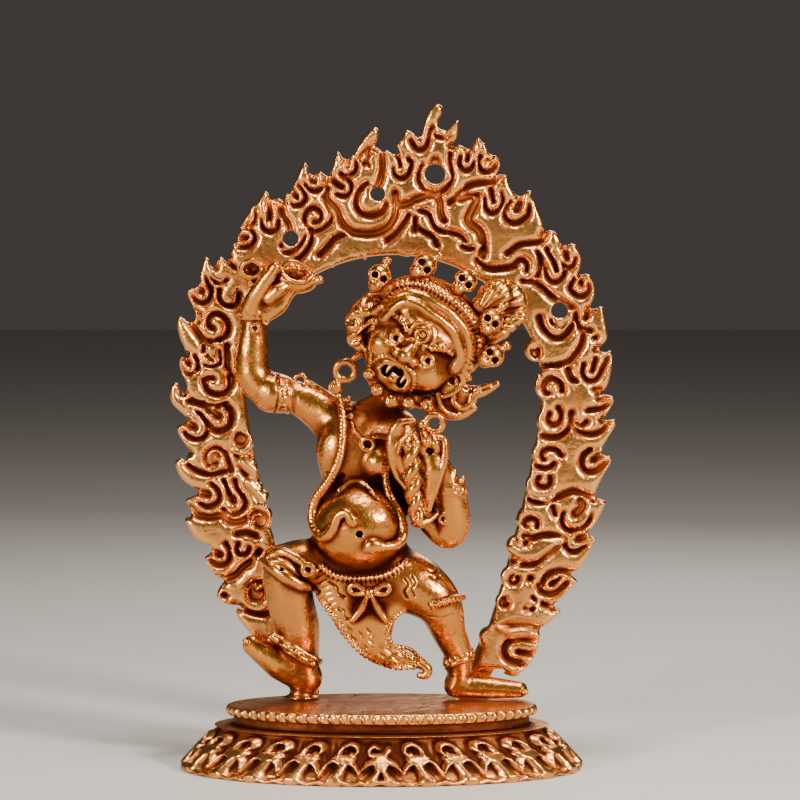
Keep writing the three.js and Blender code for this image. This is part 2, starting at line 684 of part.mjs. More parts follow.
function crownAndHair() {
  return [
    headEgg(0.4, 2.0, -1.4, [8.3, 7.8, 4.6], { around: 10, down: 6 }),
    headEgg(0.4, 1.2, 1.0, [7.3, 7.0, 3.4], { around: 10, down: 6 }),
    crownBand(5.6, 3.6, 0.7),
    crownBand(7.4, 2.1, 1.0),
    ...skullAngles.flatMap(skull),
    headLimb([[4.6, 6.6, -0.5], [6.6, 10.6, 0], [8.2, 13.4, 0]], [2.8, 2.8, 2.2], { steps: 2, flat: 0.55 }),
    headLimb([[6.4, 5.4, -0.5], [9.0, 8.6, 0], [10.4, 11.8, 0.2]], [1.8, 1.6, 0.9], { steps: 2, flat: 0.7 }),
    headLimb([[-6.0, 3.6, -1], [-8.0, -0.6, 0], [-6.9, -4.4, 0.6]], [2.0, 2.0, 1.1], { steps: 3 }),
    headLimb([[6.0, -2.6, -0.6], [9.2, -2.6, -0.2], [12.0, 1.9, 0.2]], [1.6, 1.6, 0.7], {
      sides: 5,
      steps: 3,
      flat: 0.7,
    }),
    headLimb([[5.0, -4.2, 0], [8.4, -4.4, 0], [10.8, -2.4, 0.2]], [1.5, 1.2, 0.8], {
      sides: 5,
      steps: 3,
      flat: 0.8,
    }),
  ];
}

function earrings() {
  return [
    ring([-4.9, -0.4, 53.3], 1.2, 0.5),
    egg([-6.2, -0.4, 51.2], [1.2, 0.9, 1.2], 0, { around: 6, down: 4 }),
    limb([[-4.4, 0, 54.2], [-1.4, 0.6, 56.2]], [0.7, 1.2], { sides: 4, steps: 1 }),
    ring([6.8, -4.2, 46.1], 1.3, 0.5),
    limb([[6.8, -3.6, 47.2], [5.6, -1.4, 50.4]], [0.7, 1.2], { sides: 4, steps: 1 }),
  ];
}

function torso() {
  return [
    limb(
      [[-1.7, 2.8, 24.2], [-2.9, 1.4, 31.5], [-2.7, 1.9, 38.0], [-2.7, 2.2, 42.6], [-1.7, 2.4, 46.6]],
      [5.4, 6.4, 5.4, 6.1, 4.4],
      { sides: 10, steps: 5, flat: 0.74 },
    ),
    egg([-3.0, -0.9, 32.3], [6.3, 5.1, 5.5], 0, { around: 10, down: 7 }),
    egg([-6.2, -1.0, 42.2], [2.7, 2.2, 2.9]),
    egg([-0.4, -1.4, 41.0], [2.5, 2.1, 2.4]),
    limb([[-0.8, 2, 45.6], [3.0, 0.6, 52.4]], [3.3, 3.2], { sides: 7, steps: 1 }),
  ];
}

function necklaceAndSnakes() {
  const longSnake = [
    [-6.0, 0.6, 50.4], [-5.6, -1.6, 46.4], [-5.3, -2.9, 42.4], [-6.4, -2.4, 38.6], [-8.9, -1.6, 34.8],
    [-9.0, -2.0, 31.0], [-7.2, -4.6, 29.9], [-5.9, -5.6, 33.2], [-3.9, -6.2, 33.0],
  ];
  const shortSnake = [
    [0.7, -1.8, 38.6], [2.6, -2.4, 33.4], [2.8, -3.6, 30.4], [0.8, -5.3, 28.9], [-1.5, -6.0, 28.9],
  ];
  return [
    limb(longSnake, [0.7, 0.6, 0.7, 0.7, 0.7], { sides: 4, steps: 13 }),
    limb(shortSnake, [0.6, 0.6, 0.7, 0.9], { sides: 4, steps: 6 }),
    limb([[-4.2, -0.2, 49.0], [-2.2, -2.7, 43.9], [2.6, -1.6, 45.4]], [0.8, 0.8], { sides: 4, steps: 5 }),
  ];
}

function raisedArm() {
  const through = [
    pose.rightShoulder,
    [-8.2, 3, 48.2],
    [-11.4, 3, 49.6],
    [-15.0, 3, 50.2],
    pose.rightElbow,
    [-17.5, 3, 56.4],
    pose.rightWrist,
  ];
  return [
    limb(through, [3.6, 2.8, 2.5, 2.5, 2.5, 2.2, 1.7], { sides: 8, steps: 8 }),
    ring([-13.2, 3, 50.0], 2.5, 0.6, [0, 1.35, 0]),
    ring([-17.2, 2.9, 60.0], 1.8, 0.6, [0, 0.1, 0]),
    limb([[-11.6, 2.2, 51.7], [-9.6, 2.0, 52.2], [-6.6, 2.2, 50.4]], [0.6, 0.7, 0.5], { sides: 4, steps: 3 }),
  ];
}

function raisedHand() {
  return [
    egg([-15.6, 2.5, 63.2], [2.1, 1.5, 2.6], 0.5),
    limb([[-17.0, 1.6, 62.2], [-13.9, 0.8, 68.1]], [1.0, 0.6], { sides: 5, steps: 2 }),
    limb([[-15.4, 1.9, 60.8], [-12.2, 1.4, 63.8]], [1.2, 0.7], { sides: 5, steps: 1 }),
    limb([[-18.8, 1.7, 66.1], [-14, 1.6, 66.6], [-8.4, 1.3, 64.8]], [0.8, 0.7, 0.7], { sides: 5, steps: 3 }),
    ring([-16.6, 1.6, 66.9], 1.35, 0.45),
    ring([-12.0, 1.5, 66.1], 1.45, 0.45),
    limb([[-10.4, 1.7, 65.8], [-8.2, 1.9, 67.2]], [0.9, 0.6], { sides: 4, steps: 1 }),
  ];
}

function bentArm() {
  const through = [
    pose.leftShoulder,
    [3.4, 1.8, 40.8],
    [5.8, 0.4, 35.4],
    pose.leftElbow,
    [9.6, -2.2, 34.0],
    pose.leftWrist,
    pose.leftHand,
  ];
  return [
    limb(through, [3.1, 2.6, 2.5, 2.5, 2.5, 2.1, 1.8], { sides: 8, steps: 9 }),
    ring([9.0, -3.1, 37.2], 2.1, 0.65, [0.15, 0.25, 0]),
    limb([[9.2, -3.4, 37.6], [9.8, -3.6, 40.2]], [1.5, 0.8], { sides: 5, steps: 1 }),
  ];
}

function noose() {
  const rope = [[3.4, -5.4, 44.0], [4.2, -6.7, 41.4], [3.6, -6.7, 38.6], [4.8, -5.4, 33.6]];
  const strap = [[6.6, -5.8, 43.8], [7.5, -5.9, 41.0], [5.4, -5.4, 34.6]];
  return [
    limb(rope, [0.8, 0.9, 0.8, 0.8], { sides: 5, steps: 5 }),
    ring([3.2, -5.3, 42.2], 2.3, 0.65),
    limb(strap, [1.0, 1.4, 0.9], { sides: 5, steps: 4, flat: 0.6 }),
    egg([5.6, -5.2, 43.6], [2.0, 1.7, 1.5]),
    egg([5.2, -4.8, 33.6], [1.4, 1.2, 1.0], 0, { around: 6, down: 4 }),
  ];
}

function raisedLeg() {
  const through = [
    pose.rightHip,
    [-8.4, 1.6, 27.2],
    pose.rightKnee,
    [-12.4, 1.6, 23.0],
    [-11.2, 2.8, 18.6],
    [-10.9, 3.6, 14.6],
    pose.rightAnkle,
  ];
  const foot = [[-10.4, 4.0, 11.6], [-13.6, 3.6, 13.6], pose.rightToes];
  const pawHem = [[-15.6, -1.2, 27.6], [-12.4, -1.9, 25.9], [-9.8, -1.4, 24.3]];
  return [
    limb(through, [4.4, 3.7, 3.4, 3.3, 3.0, 2.0, 1.8], { sides: 8, steps: 8 }),
    egg([-13.2, 0.2, 28.0], [3.1, 2.6, 2.2], 0.3),
    limb(pawHem, [1.0, 1.2, 1.0], { sides: 5, steps: 3 }),
    limb(foot, [1.9, 1.9, 1.2], { sides: 7, steps: 3, flat: 0.8 }),
    ring([-10.9, 3.5, 15.0], 2.0, 0.55, [0.1, -0.35, 0]),
    limb([[-10.9, 4.2, 11.6], [-10.9, 4.4, plateTop]], [1.5, 1.5], { sides: 6, steps: 1 }),
  ];
}

function bentLeg() {
  const through = [
    pose.leftHip,
    [4.6, 1.4, 24.4],
    pose.leftKnee,
    [9.2, 1.8, 18.2],
    [10.6, 3.0, 14.2],
    pose.leftAnkle,
  ];
  const foot = [[10.0, 4.0, 10.5], [14.4, 3.6, 10.3], pose.leftToes];
  return [
    limb(through, [4.4, 4.0, 3.5, 2.6, 1.9, 1.6], { sides: 8, steps: 7 }),
    ring([8.0, 0.8, 20.9], 2.6, 0.65, [0.1, 0.35, 0]),
    ring([10.5, 3.0, 14.2], 1.9, 0.6, [0.1, 0.2, 0]),
    limb(foot, [1.6, 1.5, 1.1], { sides: 6, steps: 3 }),
  ];
}

// The tiger skin that hangs between the legs, and its bow.
function skinSkirt() {
  const outline = [
    [-10.2, 24.2], [-8.6, 20.6], [-6.2, 17.2], [-3.0, 14.4], [0.8, 13.2], [4.0, 13.0],
    [5.9, 13.9], [5.6, 15.2], [3.0, 15.8], [1.6, 17.2], [1.3, 19.2], [2.4, 21.0], [4.4, 22.6],
    [3.0, 26.0], [-6.0, 27.0],
  ];
  const front = -1.6;
  const thickness = 1.7;
  const belt = [[-7.0, 0.6, 25.6], [-2.0, -0.2, 24.0], [3.6, 0.4, 25.4]];
  const bowTails = [
    [[-1.8, -2.2, 23.4], [-2.6, -2.1, 21.6], [-3.8, -1.8, 20.0]],
    [[-1.4, -2.2, 23.4], [-0.6, -2.1, 21.6], [0.4, -1.8, 20.2]],
  ];
  return [
    slab(outline, front, front + thickness),
    limb(belt, [2.6, 3.0, 2.8], { sides: 7, steps: 3, flat: 0.8 }),
    limb([[-3.8, -2.4, 24.2], [0.8, -2.4, 24.4]], [1.2, 1.2], { sides: 5, steps: 2 }),
    ...bowTails.map((tail) => limb(tail, [0.5, 0.8, 0.6], { sides: 4, steps: 2 })),
    limb([[5.2, -1.0, 13.8], [5.6, -1.0, 12.4]], [0.9, 0.8], { sides: 5, steps: 1 }),
  ];
}

// The space below the figure, kept clear of the plate.
function plateCutter() {
  const depth = 10;
  const geometry = new THREE.BoxGeometry(2 * footWidth, 2 * footDepth, depth);
  geometry.translate(0, 0, plateTop + pieceGap - depth / 2);
  return solid(geometry);
}

function buildFigure() {
  const parts = [
    ...torso(),
    ...face(),
    ...crownAndHair(),
    ...earrings(),
    ...necklaceAndSnakes(),
    ...raisedArm(),
    ...raisedHand(),
    ...bentArm(),
    ...noose(),
    ...raisedLeg(),
    ...bentLeg(),
    ...skinSkirt(),
  ];
  return join(parts).subtract(plateCutter());
}

function piece(name, body, mostFaces, finish) {
  const mesh = new THREE.Mesh(geometryOf(body, mostFaces), material(finish));
  mesh.name = name;
  return mesh;
}

const statue = new THREE.Group();
statue.add(piece("lotus_base", buildBase(), baseFaces, darkGilt));
statue.add(piece("flame_aureole", buildHalo(), haloFaces, gilt));
statue.add(piece("figure", buildFigure(), figureFaces, gilt));

export default statue;
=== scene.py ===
import math
import time

import bpy
import numpy as np
import openvdb
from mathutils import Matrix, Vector


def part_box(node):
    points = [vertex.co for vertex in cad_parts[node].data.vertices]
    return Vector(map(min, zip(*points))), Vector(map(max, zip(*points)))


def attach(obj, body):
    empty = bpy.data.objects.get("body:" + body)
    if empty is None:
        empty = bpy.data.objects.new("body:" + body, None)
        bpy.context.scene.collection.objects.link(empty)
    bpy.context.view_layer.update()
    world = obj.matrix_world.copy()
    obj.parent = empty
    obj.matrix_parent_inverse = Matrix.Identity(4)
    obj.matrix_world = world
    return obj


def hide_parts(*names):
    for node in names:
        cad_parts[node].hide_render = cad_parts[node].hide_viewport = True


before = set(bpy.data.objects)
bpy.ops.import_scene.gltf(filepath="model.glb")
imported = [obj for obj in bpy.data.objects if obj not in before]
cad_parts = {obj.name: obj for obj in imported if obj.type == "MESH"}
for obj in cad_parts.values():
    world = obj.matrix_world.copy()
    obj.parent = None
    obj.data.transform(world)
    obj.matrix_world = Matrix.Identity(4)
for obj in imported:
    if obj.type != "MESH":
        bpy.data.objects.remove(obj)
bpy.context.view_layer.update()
startTime = time.time()

far = 3.0  # distances are kept up to this many millimetres
millimetre = 0.001
formRoom = 0.6  # millimetres of grid worked on outside a form and its blend
lastCell = 1.001  # cells before the end of a grid where the last reading starts
curveSpacing = 0.35  # millimetres between the samples of a drawn line
tiny = 1e-6
coarser = 1


def report(stage):
    print(f"{stage}: {time.time() - startTime:.1f} s")


# Camera, floor and light

view = {
    "cameraPlace": (2.47, -489.0, 78.0),  # millimetres
    "lookDown": 3.34,  # degrees
    "lens": 165.0,
    "sensor": 36.0,
    "floorSize": 3.0,  # metres
    "clipStart": 0.01,
    "floorColour": (0.58, 0.55, 0.52),
    "floorRoughness": 0.75,
    "worldColour": (0.80, 0.68, 0.64),
    "worldStrength": 0.07,
    "lampAim": (0, 0, 45),
    # name: place and size in millimetres, power, colour
    "lamps": {
        "left": ((-300, -340, 150), 70, 2.3, (1.0, 0.95, 0.86)),
        "right": ((270, -250, 210), 60, 2.6, (1.0, 0.94, 0.84)),
        "top": ((30, -50, 330), 90, 0.8, (1.0, 0.96, 0.90)),
        "behind": ((60, 260, 190), 120, 0.25, (1.0, 0.96, 0.90)),
    },
}


def makeCamera():
    camera = bpy.data.cameras.new("camera")
    camera.lens = view["lens"]
    camera.sensor_width = view["sensor"]
    camera.clip_start = view["clipStart"]
    holder = bpy.data.objects.new("camera", camera)
    holder.location = Vector(view["cameraPlace"]) * millimetre
    holder.rotation_euler = (math.radians(90 - view["lookDown"]), 0, 0)
    bpy.context.collection.objects.link(holder)
    bpy.context.scene.camera = holder


def makeFloor():
    half = view["floorSize"] / 2
    mesh = bpy.data.meshes.new("floor")
    corners = [(-half, -half, 0), (half, -half, 0), (half, half, 0), (-half, half, 0)]
    mesh.from_pydata(corners, [], [(0, 1, 2, 3)])
    floor = bpy.data.objects.new("floor", mesh)
    bpy.context.collection.objects.link(floor)
    material = bpy.data.materials.new("floor")
    material.use_nodes = True
    shader = material.node_tree.nodes["Principled BSDF"]
    shader.inputs["Base Color"].default_value = (*view["floorColour"], 1)
    shader.inputs["Roughness"].default_value = view["floorRoughness"]
    mesh.materials.append(material)


def makeLights():
    for name, (place, size, power, colour) in view["lamps"].items():
        lamp = bpy.data.lights.new(name, "AREA")
        lamp.shape = "SQUARE"
        lamp.size = size * millimetre
        lamp.energy = power
        lamp.color = colour
        holder = bpy.data.objects.new(name, lamp)
        holder.location = Vector(place) * millimetre
        aim = Vector(view["lampAim"]) * millimetre - holder.location
        holder.rotation_euler = aim.to_track_quat("-Z", "Y").to_euler()
        bpy.context.collection.objects.link(holder)
    world = bpy.data.worlds.new("studio")
    world.use_nodes = True
    sky = world.node_tree.nodes["Background"]
    sky.inputs["Color"].default_value = (*view["worldColour"], 1)
    sky.inputs["Strength"].default_value = view["worldStrength"]
    bpy.context.scene.world = world


makeCamera()
makeFloor()
makeLights()


# Curves and blends

def path(text):
    # "x,z x,z" or "x,y,z x,y,z" as an array of points
    return np.array([[float(value) for value in point.split(",")] for point in text.split()])


def smoothCurve(points, spacing):
    # a Catmull-Rom curve through the points, with how far along (0 to 1) each sample lies
    points = np.asarray(points, float)
    if len(points) < 3:
        count = max(2, int(np.linalg.norm(points[-1] - points[0]) / spacing) + 2)
        share = np.linspace(0, 1, count)
        return points[0] + (points[-1] - points[0]) * share[:, None], share
    padded = np.vstack([2 * points[0] - points[1], points, 2 * points[-1] - points[-2]])
    samples = []
    shares = []
    spans = len(points) - 1
    for span in range(spans):
        a, b, c, d = padded[span:span + 4]
        count = max(2, int(np.linalg.norm(c - b) / spacing) + 2)
        t = np.arange(count)[:, None] / count
        square = 2 * a - 5 * b + 4 * c - d
        cube = 3 * b - a - 3 * c + d
        samples.append(0.5 * (2 * b + (c - a) * t + square * t ** 2 + cube * t ** 3))
        shares.append((span + t[:, 0]) / spans)
    samples.append(points[-1:])
    shares.append([1.0])
    return np.vstack(samples), np.concatenate(shares)


def widthAlong(widths, shares):
    # widths are one number or a list spread evenly along the curve
    widths = np.atleast_1d(np.asarray(widths, float))
    return np.interp(shares, np.linspace(0, 1, len(widths)), widths)


def smoothMin(a, b, blend):
    if blend <= 0:
        return np.minimum(a, b)
    near = np.maximum(blend - np.abs(a - b), 0) / blend
    return np.minimum(a, b) - near * near * (blend / 4)


def smoothMax(a, b, blend):
    return -smoothMin(-a, -b, blend)


def smoothStep(low, high, value):
    t = np.clip((value - low) / (high - low), 0, 1)
    return t * t * (3 - 2 * t)


def boxBlur(values, reach, axis):
    # the mean over 2 * reach + 1 cells along one axis
    count = 2 * reach + 1
    width = [(0, 0)] * values.ndim
    width[axis] = (reach + 1, reach)
    total = np.cumsum(np.pad(values, width, mode="edge"), axis=axis, dtype=np.float64)
    length = values.shape[axis]
    high = np.take(total, range(count, count + length), axis=axis)
    low = np.take(total, range(0, length), axis=axis)
    return ((high - low) / count).astype(np.float32)


def blurred(values, spread, step):
    reach = max(1, int(round(spread / step)))
    for axis in range(values.ndim):
        for repeat in range(2):
            values = boxBlur(values, reach, axis)
    return values


# A flat drawing of distances and heights on a grid

class Relief:
    def __init__(self, low, high, step):
        self.low = np.array(low, float)
        self.step = step
        self.across = np.arange(low[0], high[0], step)
        self.up = np.arange(low[1], high[1], step)
        self.x, self.z = np.meshgrid(self.across, self.up, indexing="ij")

    def empty(self):
        return np.full(self.x.shape, far, np.float32)

    def window(self, low, high):
        first = np.searchsorted(self.across, [low[0], high[0]])
        second = np.searchsorted(self.up, [low[1], high[1]])
        return slice(*first), slice(*second)

    def stroke(self, field, points, widths, reach=1.6):
        # lowers field to the distance from a stroke along a smooth curve
        samples, shares = smoothCurve(points, curveSpacing)
        radii = widthAlong(widths, shares)
        for start, end, first, last in zip(samples[:-1], samples[1:], radii[:-1], radii[1:]):
            room = max(first, last) + reach
            part = self.window(np.minimum(start, end) - room, np.maximum(start, end) + room)
            x = self.x[part] - start[0]
            z = self.z[part] - start[1]
            along = end - start
            t = np.clip((x * along[0] + z * along[1]) / max((along ** 2).sum(), tiny), 0, 1)
            away = np.hypot(x - t * along[0], z - t * along[1]) - (first + (last - first) * t)
            field[part] = np.minimum(field[part], away)
        return field

    def closed(self, points):
        # distances to a closed outline, below zero inside
        samples = smoothCurve(np.vstack([points, points[:1]]), curveSpacing)[0]
        away = self.stroke(self.empty(), samples, 0.0, 2.8)
        inside = np.zeros(self.x.shape, bool)
        for start, end in zip(samples[:-1], samples[1:]):
            low, high = sorted([start[1], end[1]])
            for row in range(*np.searchsorted(self.up, [low, high])):
                crossing = start[0] + (end[0] - start[0]) * (self.up[row] - start[1]) / (end[1] - start[1])
                inside[np.searchsorted(self.across, crossing):, row] ^= True
        return np.where(inside, -away, away)

    def dot(self, field, place, radius):
        away = np.hypot(self.x - place[0], self.z - place[1]) - radius
        np.minimum(field, away, out=field)

    def read(self, field, x, z):
        # field at scattered places, between the grid's points
        i = np.clip((x - self.low[0]) / self.step, 0, len(self.across) - lastCell)
        j = np.clip((z - self.low[1]) / self.step, 0, len(self.up) - lastCell)
        i0 = i.astype(int)
        j0 = j.astype(int)
        u = i - i0
        v = j - j0
        return (
            field[i0, j0] * (1 - u) * (1 - v) + field[i0 + 1, j0] * u * (1 - v)
            + field[i0, j0 + 1] * (1 - u) * v + field[i0 + 1, j0 + 1] * u * v
        )


# A lump of clay: distances to its surface on a grid, below zero inside

class Clay:
    def __init__(self, low, high, step):
        self.low = np.array(low, float)
        self.step = step
        self.count = np.ceil((np.array(high) - self.low) / step).astype(int) + 1
        self.axes = [self.low[i] + step * np.arange(self.count[i]) for i in range(3)]
        self.field = np.full(self.count, far, np.float32)

    def part(self, low, high):
        start = np.clip(((np.asarray(low) - self.low) / self.step).astype(int), 0, self.count - 1)
        stop = np.clip(((np.asarray(high) - self.low) / self.step).astype(int) + 2, 1, self.count)
        slices = tuple(slice(a, b) for a, b in zip(start, stop))
        axes = [self.axes[i][slices[i]].astype(np.float32) for i in range(3)]
        return slices, axes[0][:, None, None], axes[1][None, :, None], axes[2][None, None, :]

    def put(self, slices, away, blend):
        self.field[slices] = smoothMin(self.field[slices], away, blend)

    def carve(self, slices, away, blend):
        self.field[slices] = smoothMax(self.field[slices], -away, blend)

    def egg(self, centre, radii, blend=0.5, turn=0.0, cut=False):
        # turn leans the egg in the plane that faces the viewer
        centre = np.asarray(centre, float)
        room = max(radii) + blend + formRoom
        slices, x, y, z = self.part(centre - room, centre + room)
        x = x - centre[0]
        y = y - centre[1]
        z = z - centre[2]
        across = x * math.cos(turn) - z * math.sin(turn)
        upward = x * math.sin(turn) + z * math.cos(turn)
        wide, deep, tall = radii
        size = np.sqrt((across / wide) ** 2 + (y / deep) ** 2 + (upward / tall) ** 2)
        slope = np.sqrt((across / wide ** 2) ** 2 + (y / deep ** 2) ** 2 + (upward / tall ** 2) ** 2)
        away = (size * (size - 1) / np.maximum(slope, tiny)).astype(np.float32)
        (self.carve if cut else self.put)(slices, away, blend)

    def limb(self, points, widths, blend=0.5, flat=1.0, cut=False, spacing=0.5):
        # a round limb along a smooth curve, thinner from front to back where flat is below 1
        samples, shares = smoothCurve(points, spacing)
        radii = widthAlong(widths, shares)
        room = radii.max() + blend + formRoom
        slices, x, y, z = self.part(samples.min(0) - room, samples.max(0) + room)
        away = np.full((x.size, y.size, z.size), far, np.float32)
        corner = np.array([x.flat[0], y.flat[0], z.flat[0]])
        for start, end, first, last in zip(samples[:-1], samples[1:], radii[:-1], radii[1:]):
            reach = max(first, last) + blend + formRoom
            low = ((np.minimum(start, end) - reach - corner) / self.step).astype(int).clip(0)
            high = ((np.maximum(start, end) + reach - corner) / self.step).astype(int) + 2
            here = tuple(slice(a, b) for a, b in zip(low, high))
            px = x[here[0], :, :] - start[0]
            py = y[:, here[1], :] - start[1]
            pz = z[:, :, here[2]] - start[2]
            along = end - start
            walked = px * along[0] + py * along[1] + pz * along[2]
            t = np.clip(walked / max((along ** 2).sum(), tiny), 0, 1)
            dx = px - t * along[0]
            dy = py - t * along[1]
            dz = pz - t * along[2]
            square = dx * dx + dy * dy + dz * dz
            if flat < 1:
                square = square + dy ** 2 * (1 / flat ** 2 - 1)
            distance = np.sqrt(square) - (first + (last - first) * t)
            if flat < 1:
                distance = distance * (0.5 + 0.5 * flat)
            away[here] = np.minimum(away[here], distance)
        (self.carve if cut else self.put)(slices, away, blend)

    def ring(self, centre, axis, radius, thickness, blend=0.2):
        centre = np.asarray(centre, float)
        axis = np.asarray(axis, float) / np.linalg.norm(axis)
        room = radius + thickness + blend + formRoom
        slices, x, y, z = self.part(centre - room, centre + room)
        x = x - centre[0]
        y = y - centre[1]
        z = z - centre[2]
        along = x * axis[0] + y * axis[1] + z * axis[2]
        outward = np.sqrt(np.maximum(x * x + y * y + z * z - along * along, 0)) - radius
        away = (np.sqrt(outward ** 2 + along ** 2) - thickness).astype(np.float32)
        self.put(slices, away, blend)

    def front(self, x, z):
        # the depth of the first surface that is met from the front, or 0 where there is none
        i = np.clip((x - self.low[0]) / self.step, 0, self.count[0] - 1).round().astype(int)
        k = np.clip((z - self.low[2]) / self.step, 0, self.count[2] - 1).round().astype(int)
        column = self.field[i, :, k]
        inside = column < 0
        first = inside.argmax(-1)
        met = inside.any(-1)
        before = np.take_along_axis(column, np.maximum(first - 1, 0)[..., None], -1)[..., 0]
        after = np.take_along_axis(column, first[..., None], -1)[..., 0]
        share = before / np.maximum(before - after, tiny)
        depth = self.low[1] + self.step * (first - 1 + share)
        return np.where(met, depth, 0.0)

    def laid(self, points, lift=0.0):
        # points in x and z laid on the front of the surface, lift above it
        points = np.asarray(points, float)
        depth = self.front(points[:, 0], points[:, 1])
        return np.column_stack([points[:, 0], depth - lift, points[:, 1]])

    def ridge(self, line, width, lift=0.0):
        # a raised line along the front of the surface
        self.limb(self.laid(line, lift), width, blend=0.12, spacing=curveSpacing)

    def groove(self, line, width, lift=0.0, blend=0.1):
        # a carved line, shallower the higher it is lifted
        spacing = 0.3
        samples = smoothCurve(line, spacing)[0]
        self.limb(self.laid(samples, lift), width, blend, cut=True, spacing=spacing)

    def notches(self, line, pitch, width, length):
        # short cuts across a line on the front of the surface
        spacing = 0.1
        samples = smoothCurve(line, spacing)[0]
        walked = np.concatenate([[0], np.cumsum(np.linalg.norm(np.diff(samples, axis=0), axis=1))])
        for middle in np.arange(pitch / 2, walked[-1], pitch):
            behind, centre, ahead = [
                np.array([np.interp(place, walked, samples[:, i]) for i in range(2)])
                for place in [middle - spacing, middle, middle + spacing]
            ]
            along = (ahead - behind) / max(np.linalg.norm(ahead - behind), tiny)
            across = np.array([-along[1], along[0]]) * length
            self.groove([centre - across, centre, centre + across], width, lift=0.05, blend=0.05)

    def beadRing(self, centre, axis, radius, size, count):
        # beads round a limb
        axis = Vector(axis).normalized()
        side = axis.orthogonal().normalized()
        other = axis.cross(side)
        for bead in range(count):
            turn = bead / count * 2 * math.pi
            place = Vector(centre) + (side * math.cos(turn) + other * math.sin(turn)) * radius
            self.egg(tuple(place), (size,) * 3, 0.05)


# From clay to mesh

def largestPiece(points, faces):
    # only the faces of the piece with the most points, and the points that they use
    label = np.arange(len(points))
    edges = np.vstack([faces[:, [0, 1]], faces[:, [1, 2]]])
    while True:
        lowest = np.minimum(label[edges[:, 0]], label[edges[:, 1]])
        before = label.copy()
        np.minimum.at(label, edges[:, 0], lowest)
        np.minimum.at(label, edges[:, 1], lowest)
        label = label[label]
        if (label == before).all():
            break
    names, counts = np.unique(label, return_counts=True)
    kept = label == names[counts.argmax()]
    order = np.cumsum(kept) - 1
    return points[kept], order[faces[kept[faces[:, 0]]]]


def meshFromClay(clay, name, mostFaces):
    grid = openvdb.FloatGrid(far)
    grid.copyFromArray(clay.field)
    points, triangles, quads = grid.convertToPolygons(isovalue=0.0, adaptivity=0.0)
    faces = [quads[:, [0, 1, 2]], quads[:, [0, 2, 3]]]
    if len(triangles):
        faces.append(triangles)
    points, faces = largestPiece(points, np.vstack(faces).astype(np.int64))
    points = clay.low + points * clay.step
    corners = points[faces]
    volume = np.einsum("ij,ij->i", corners[:, 0], np.cross(corners[:, 1], corners[:, 2])).sum()
    if volume < 0:
        faces = faces[:, ::-1]
    mesh = bpy.data.meshes.new(name)
    mesh.vertices.add(len(points))
    mesh.vertices.foreach_set("co", (points * millimetre).astype(np.float32).ravel())
    mesh.loops.add(faces.size)
    mesh.loops.foreach_set("vertex_index", faces.astype(np.int32).ravel())
    mesh.polygons.add(len(faces))
    mesh.polygons.foreach_set("loop_start", np.arange(0, faces.size, 3, dtype=np.int32))
    mesh.update(calc_edges=True)
    piece = bpy.data.objects.new(name, mesh)
    bpy.context.collection.objects.link(piece)
    if len(faces) > mostFaces:
        modifier = piece.modifiers.new("fewer", "DECIMATE")
        modifier.ratio = mostFaces / len(faces)
        graph = bpy.context.evaluated_depsgraph_get()
        fewer = bpy.data.meshes.new_from_object(piece.evaluated_get(graph))
        piece.modifiers.clear()
        piece.data = fewer
        bpy.data.meshes.remove(mesh)
        fewer.name = name
    piece.data.shade_smooth()
    print(f"{name}: {len(faces)} faces sculpted, {len(piece.data.polygons)} kept")
    return piece


def readField(field, clay, points):
    # field at scattered places, between the grid's points
    place = (points - clay.low) / clay.step
    place = np.clip(place, 0, np.array(field.shape) - lastCell)
    whole = place.astype(int)
    share = place - whole
    total = np.zeros(len(points))
    for corner in range(8):
        offset = np.array([corner & 1, corner >> 1 & 1, corner >> 2 & 1])
        weight = np.prod(np.where(offset, share, 1 - share), axis=1)
        index = whole + offset
        total += weight * field[index[:, 0], index[:, 1], index[:, 2]]
    return total


# Input of the finish: the mesh's attribute for it, and how far that looks round a point, in millimetres. The
# finish darkens the colour by these: patina and painted shade in the fine and broad hollows, painted shade in
# the deep ones
hollows = {
    "Fine hollow": ("fineHollow", 0.30),
    "Broad hollow": ("broadHollow", 1.1),
    # painted shade: the darkening under the head and between the limbs and the body
    "Deep shade": ("deepShade", 2.6),
}


def addHollows(piece, clay):
    # how far each point lies in a hollow (above 0) or on a ridge (below 0), at three scales
    count = len(piece.data.vertices)
    points = np.empty(count * 3, np.float32)
    piece.data.vertices.foreach_get("co", points)
    points = points.reshape(-1, 3) / millimetre
    for name, spread in hollows.values():
        limit = 1.6 * spread + 1
        soft = blurred(np.clip(clay.field, -limit, limit), spread, clay.step)
        values = -readField(soft, clay, points) / spread
        attribute = piece.data.attributes.new(name, "FLOAT", "POINT")
        attribute.data.foreach_set("value", values.astype(np.float32))


# Finish

def makeGroup(name, inputs, outputs):
    group = bpy.data.node_groups.new(name, "ShaderNodeTree")
    for label, kind, value in inputs:
        socket = group.interface.new_socket(name=label, in_out="INPUT", socket_type=kind)
        socket.default_value = value
    for label, kind in outputs:
        group.interface.new_socket(name=label, in_out="OUTPUT", socket_type=kind)
    return group, group.nodes.new("NodeGroupInput"), group.nodes.new("NodeGroupOutput")


def addMath(tree, operation, first, second):
    node = tree.nodes.new("ShaderNodeMath")
    node.operation = operation
    for index, value in enumerate([first, second]):
        if isinstance(value, float):
            node.inputs[index].default_value = value
        else:
            tree.links.new(value, node.inputs[index])
    return node.outputs[0]


def addMix(tree, share, first, second):
    node = tree.nodes.new("ShaderNodeMix")
    node.data_type = "RGBA"
    # sockets 0, 6 and 7 are the share and the two colours, and output 2 is the mixed colour
    for index, value in [(0, share), (6, first), (7, second)]:
        tree.links.new(value, node.inputs[index])
    return node.outputs[2]


def addRange(tree, value, low, high):
    # 0 at low and below, 1 at high and above
    node = tree.nodes.new("ShaderNodeMapRange")
    node.interpolation_type = "SMOOTHSTEP"
    tree.links.new(value, node.inputs["Value"])
    node.inputs["From Min"].default_value = low
    node.inputs["From Max"].default_value = high
    return node.outputs["Result"]


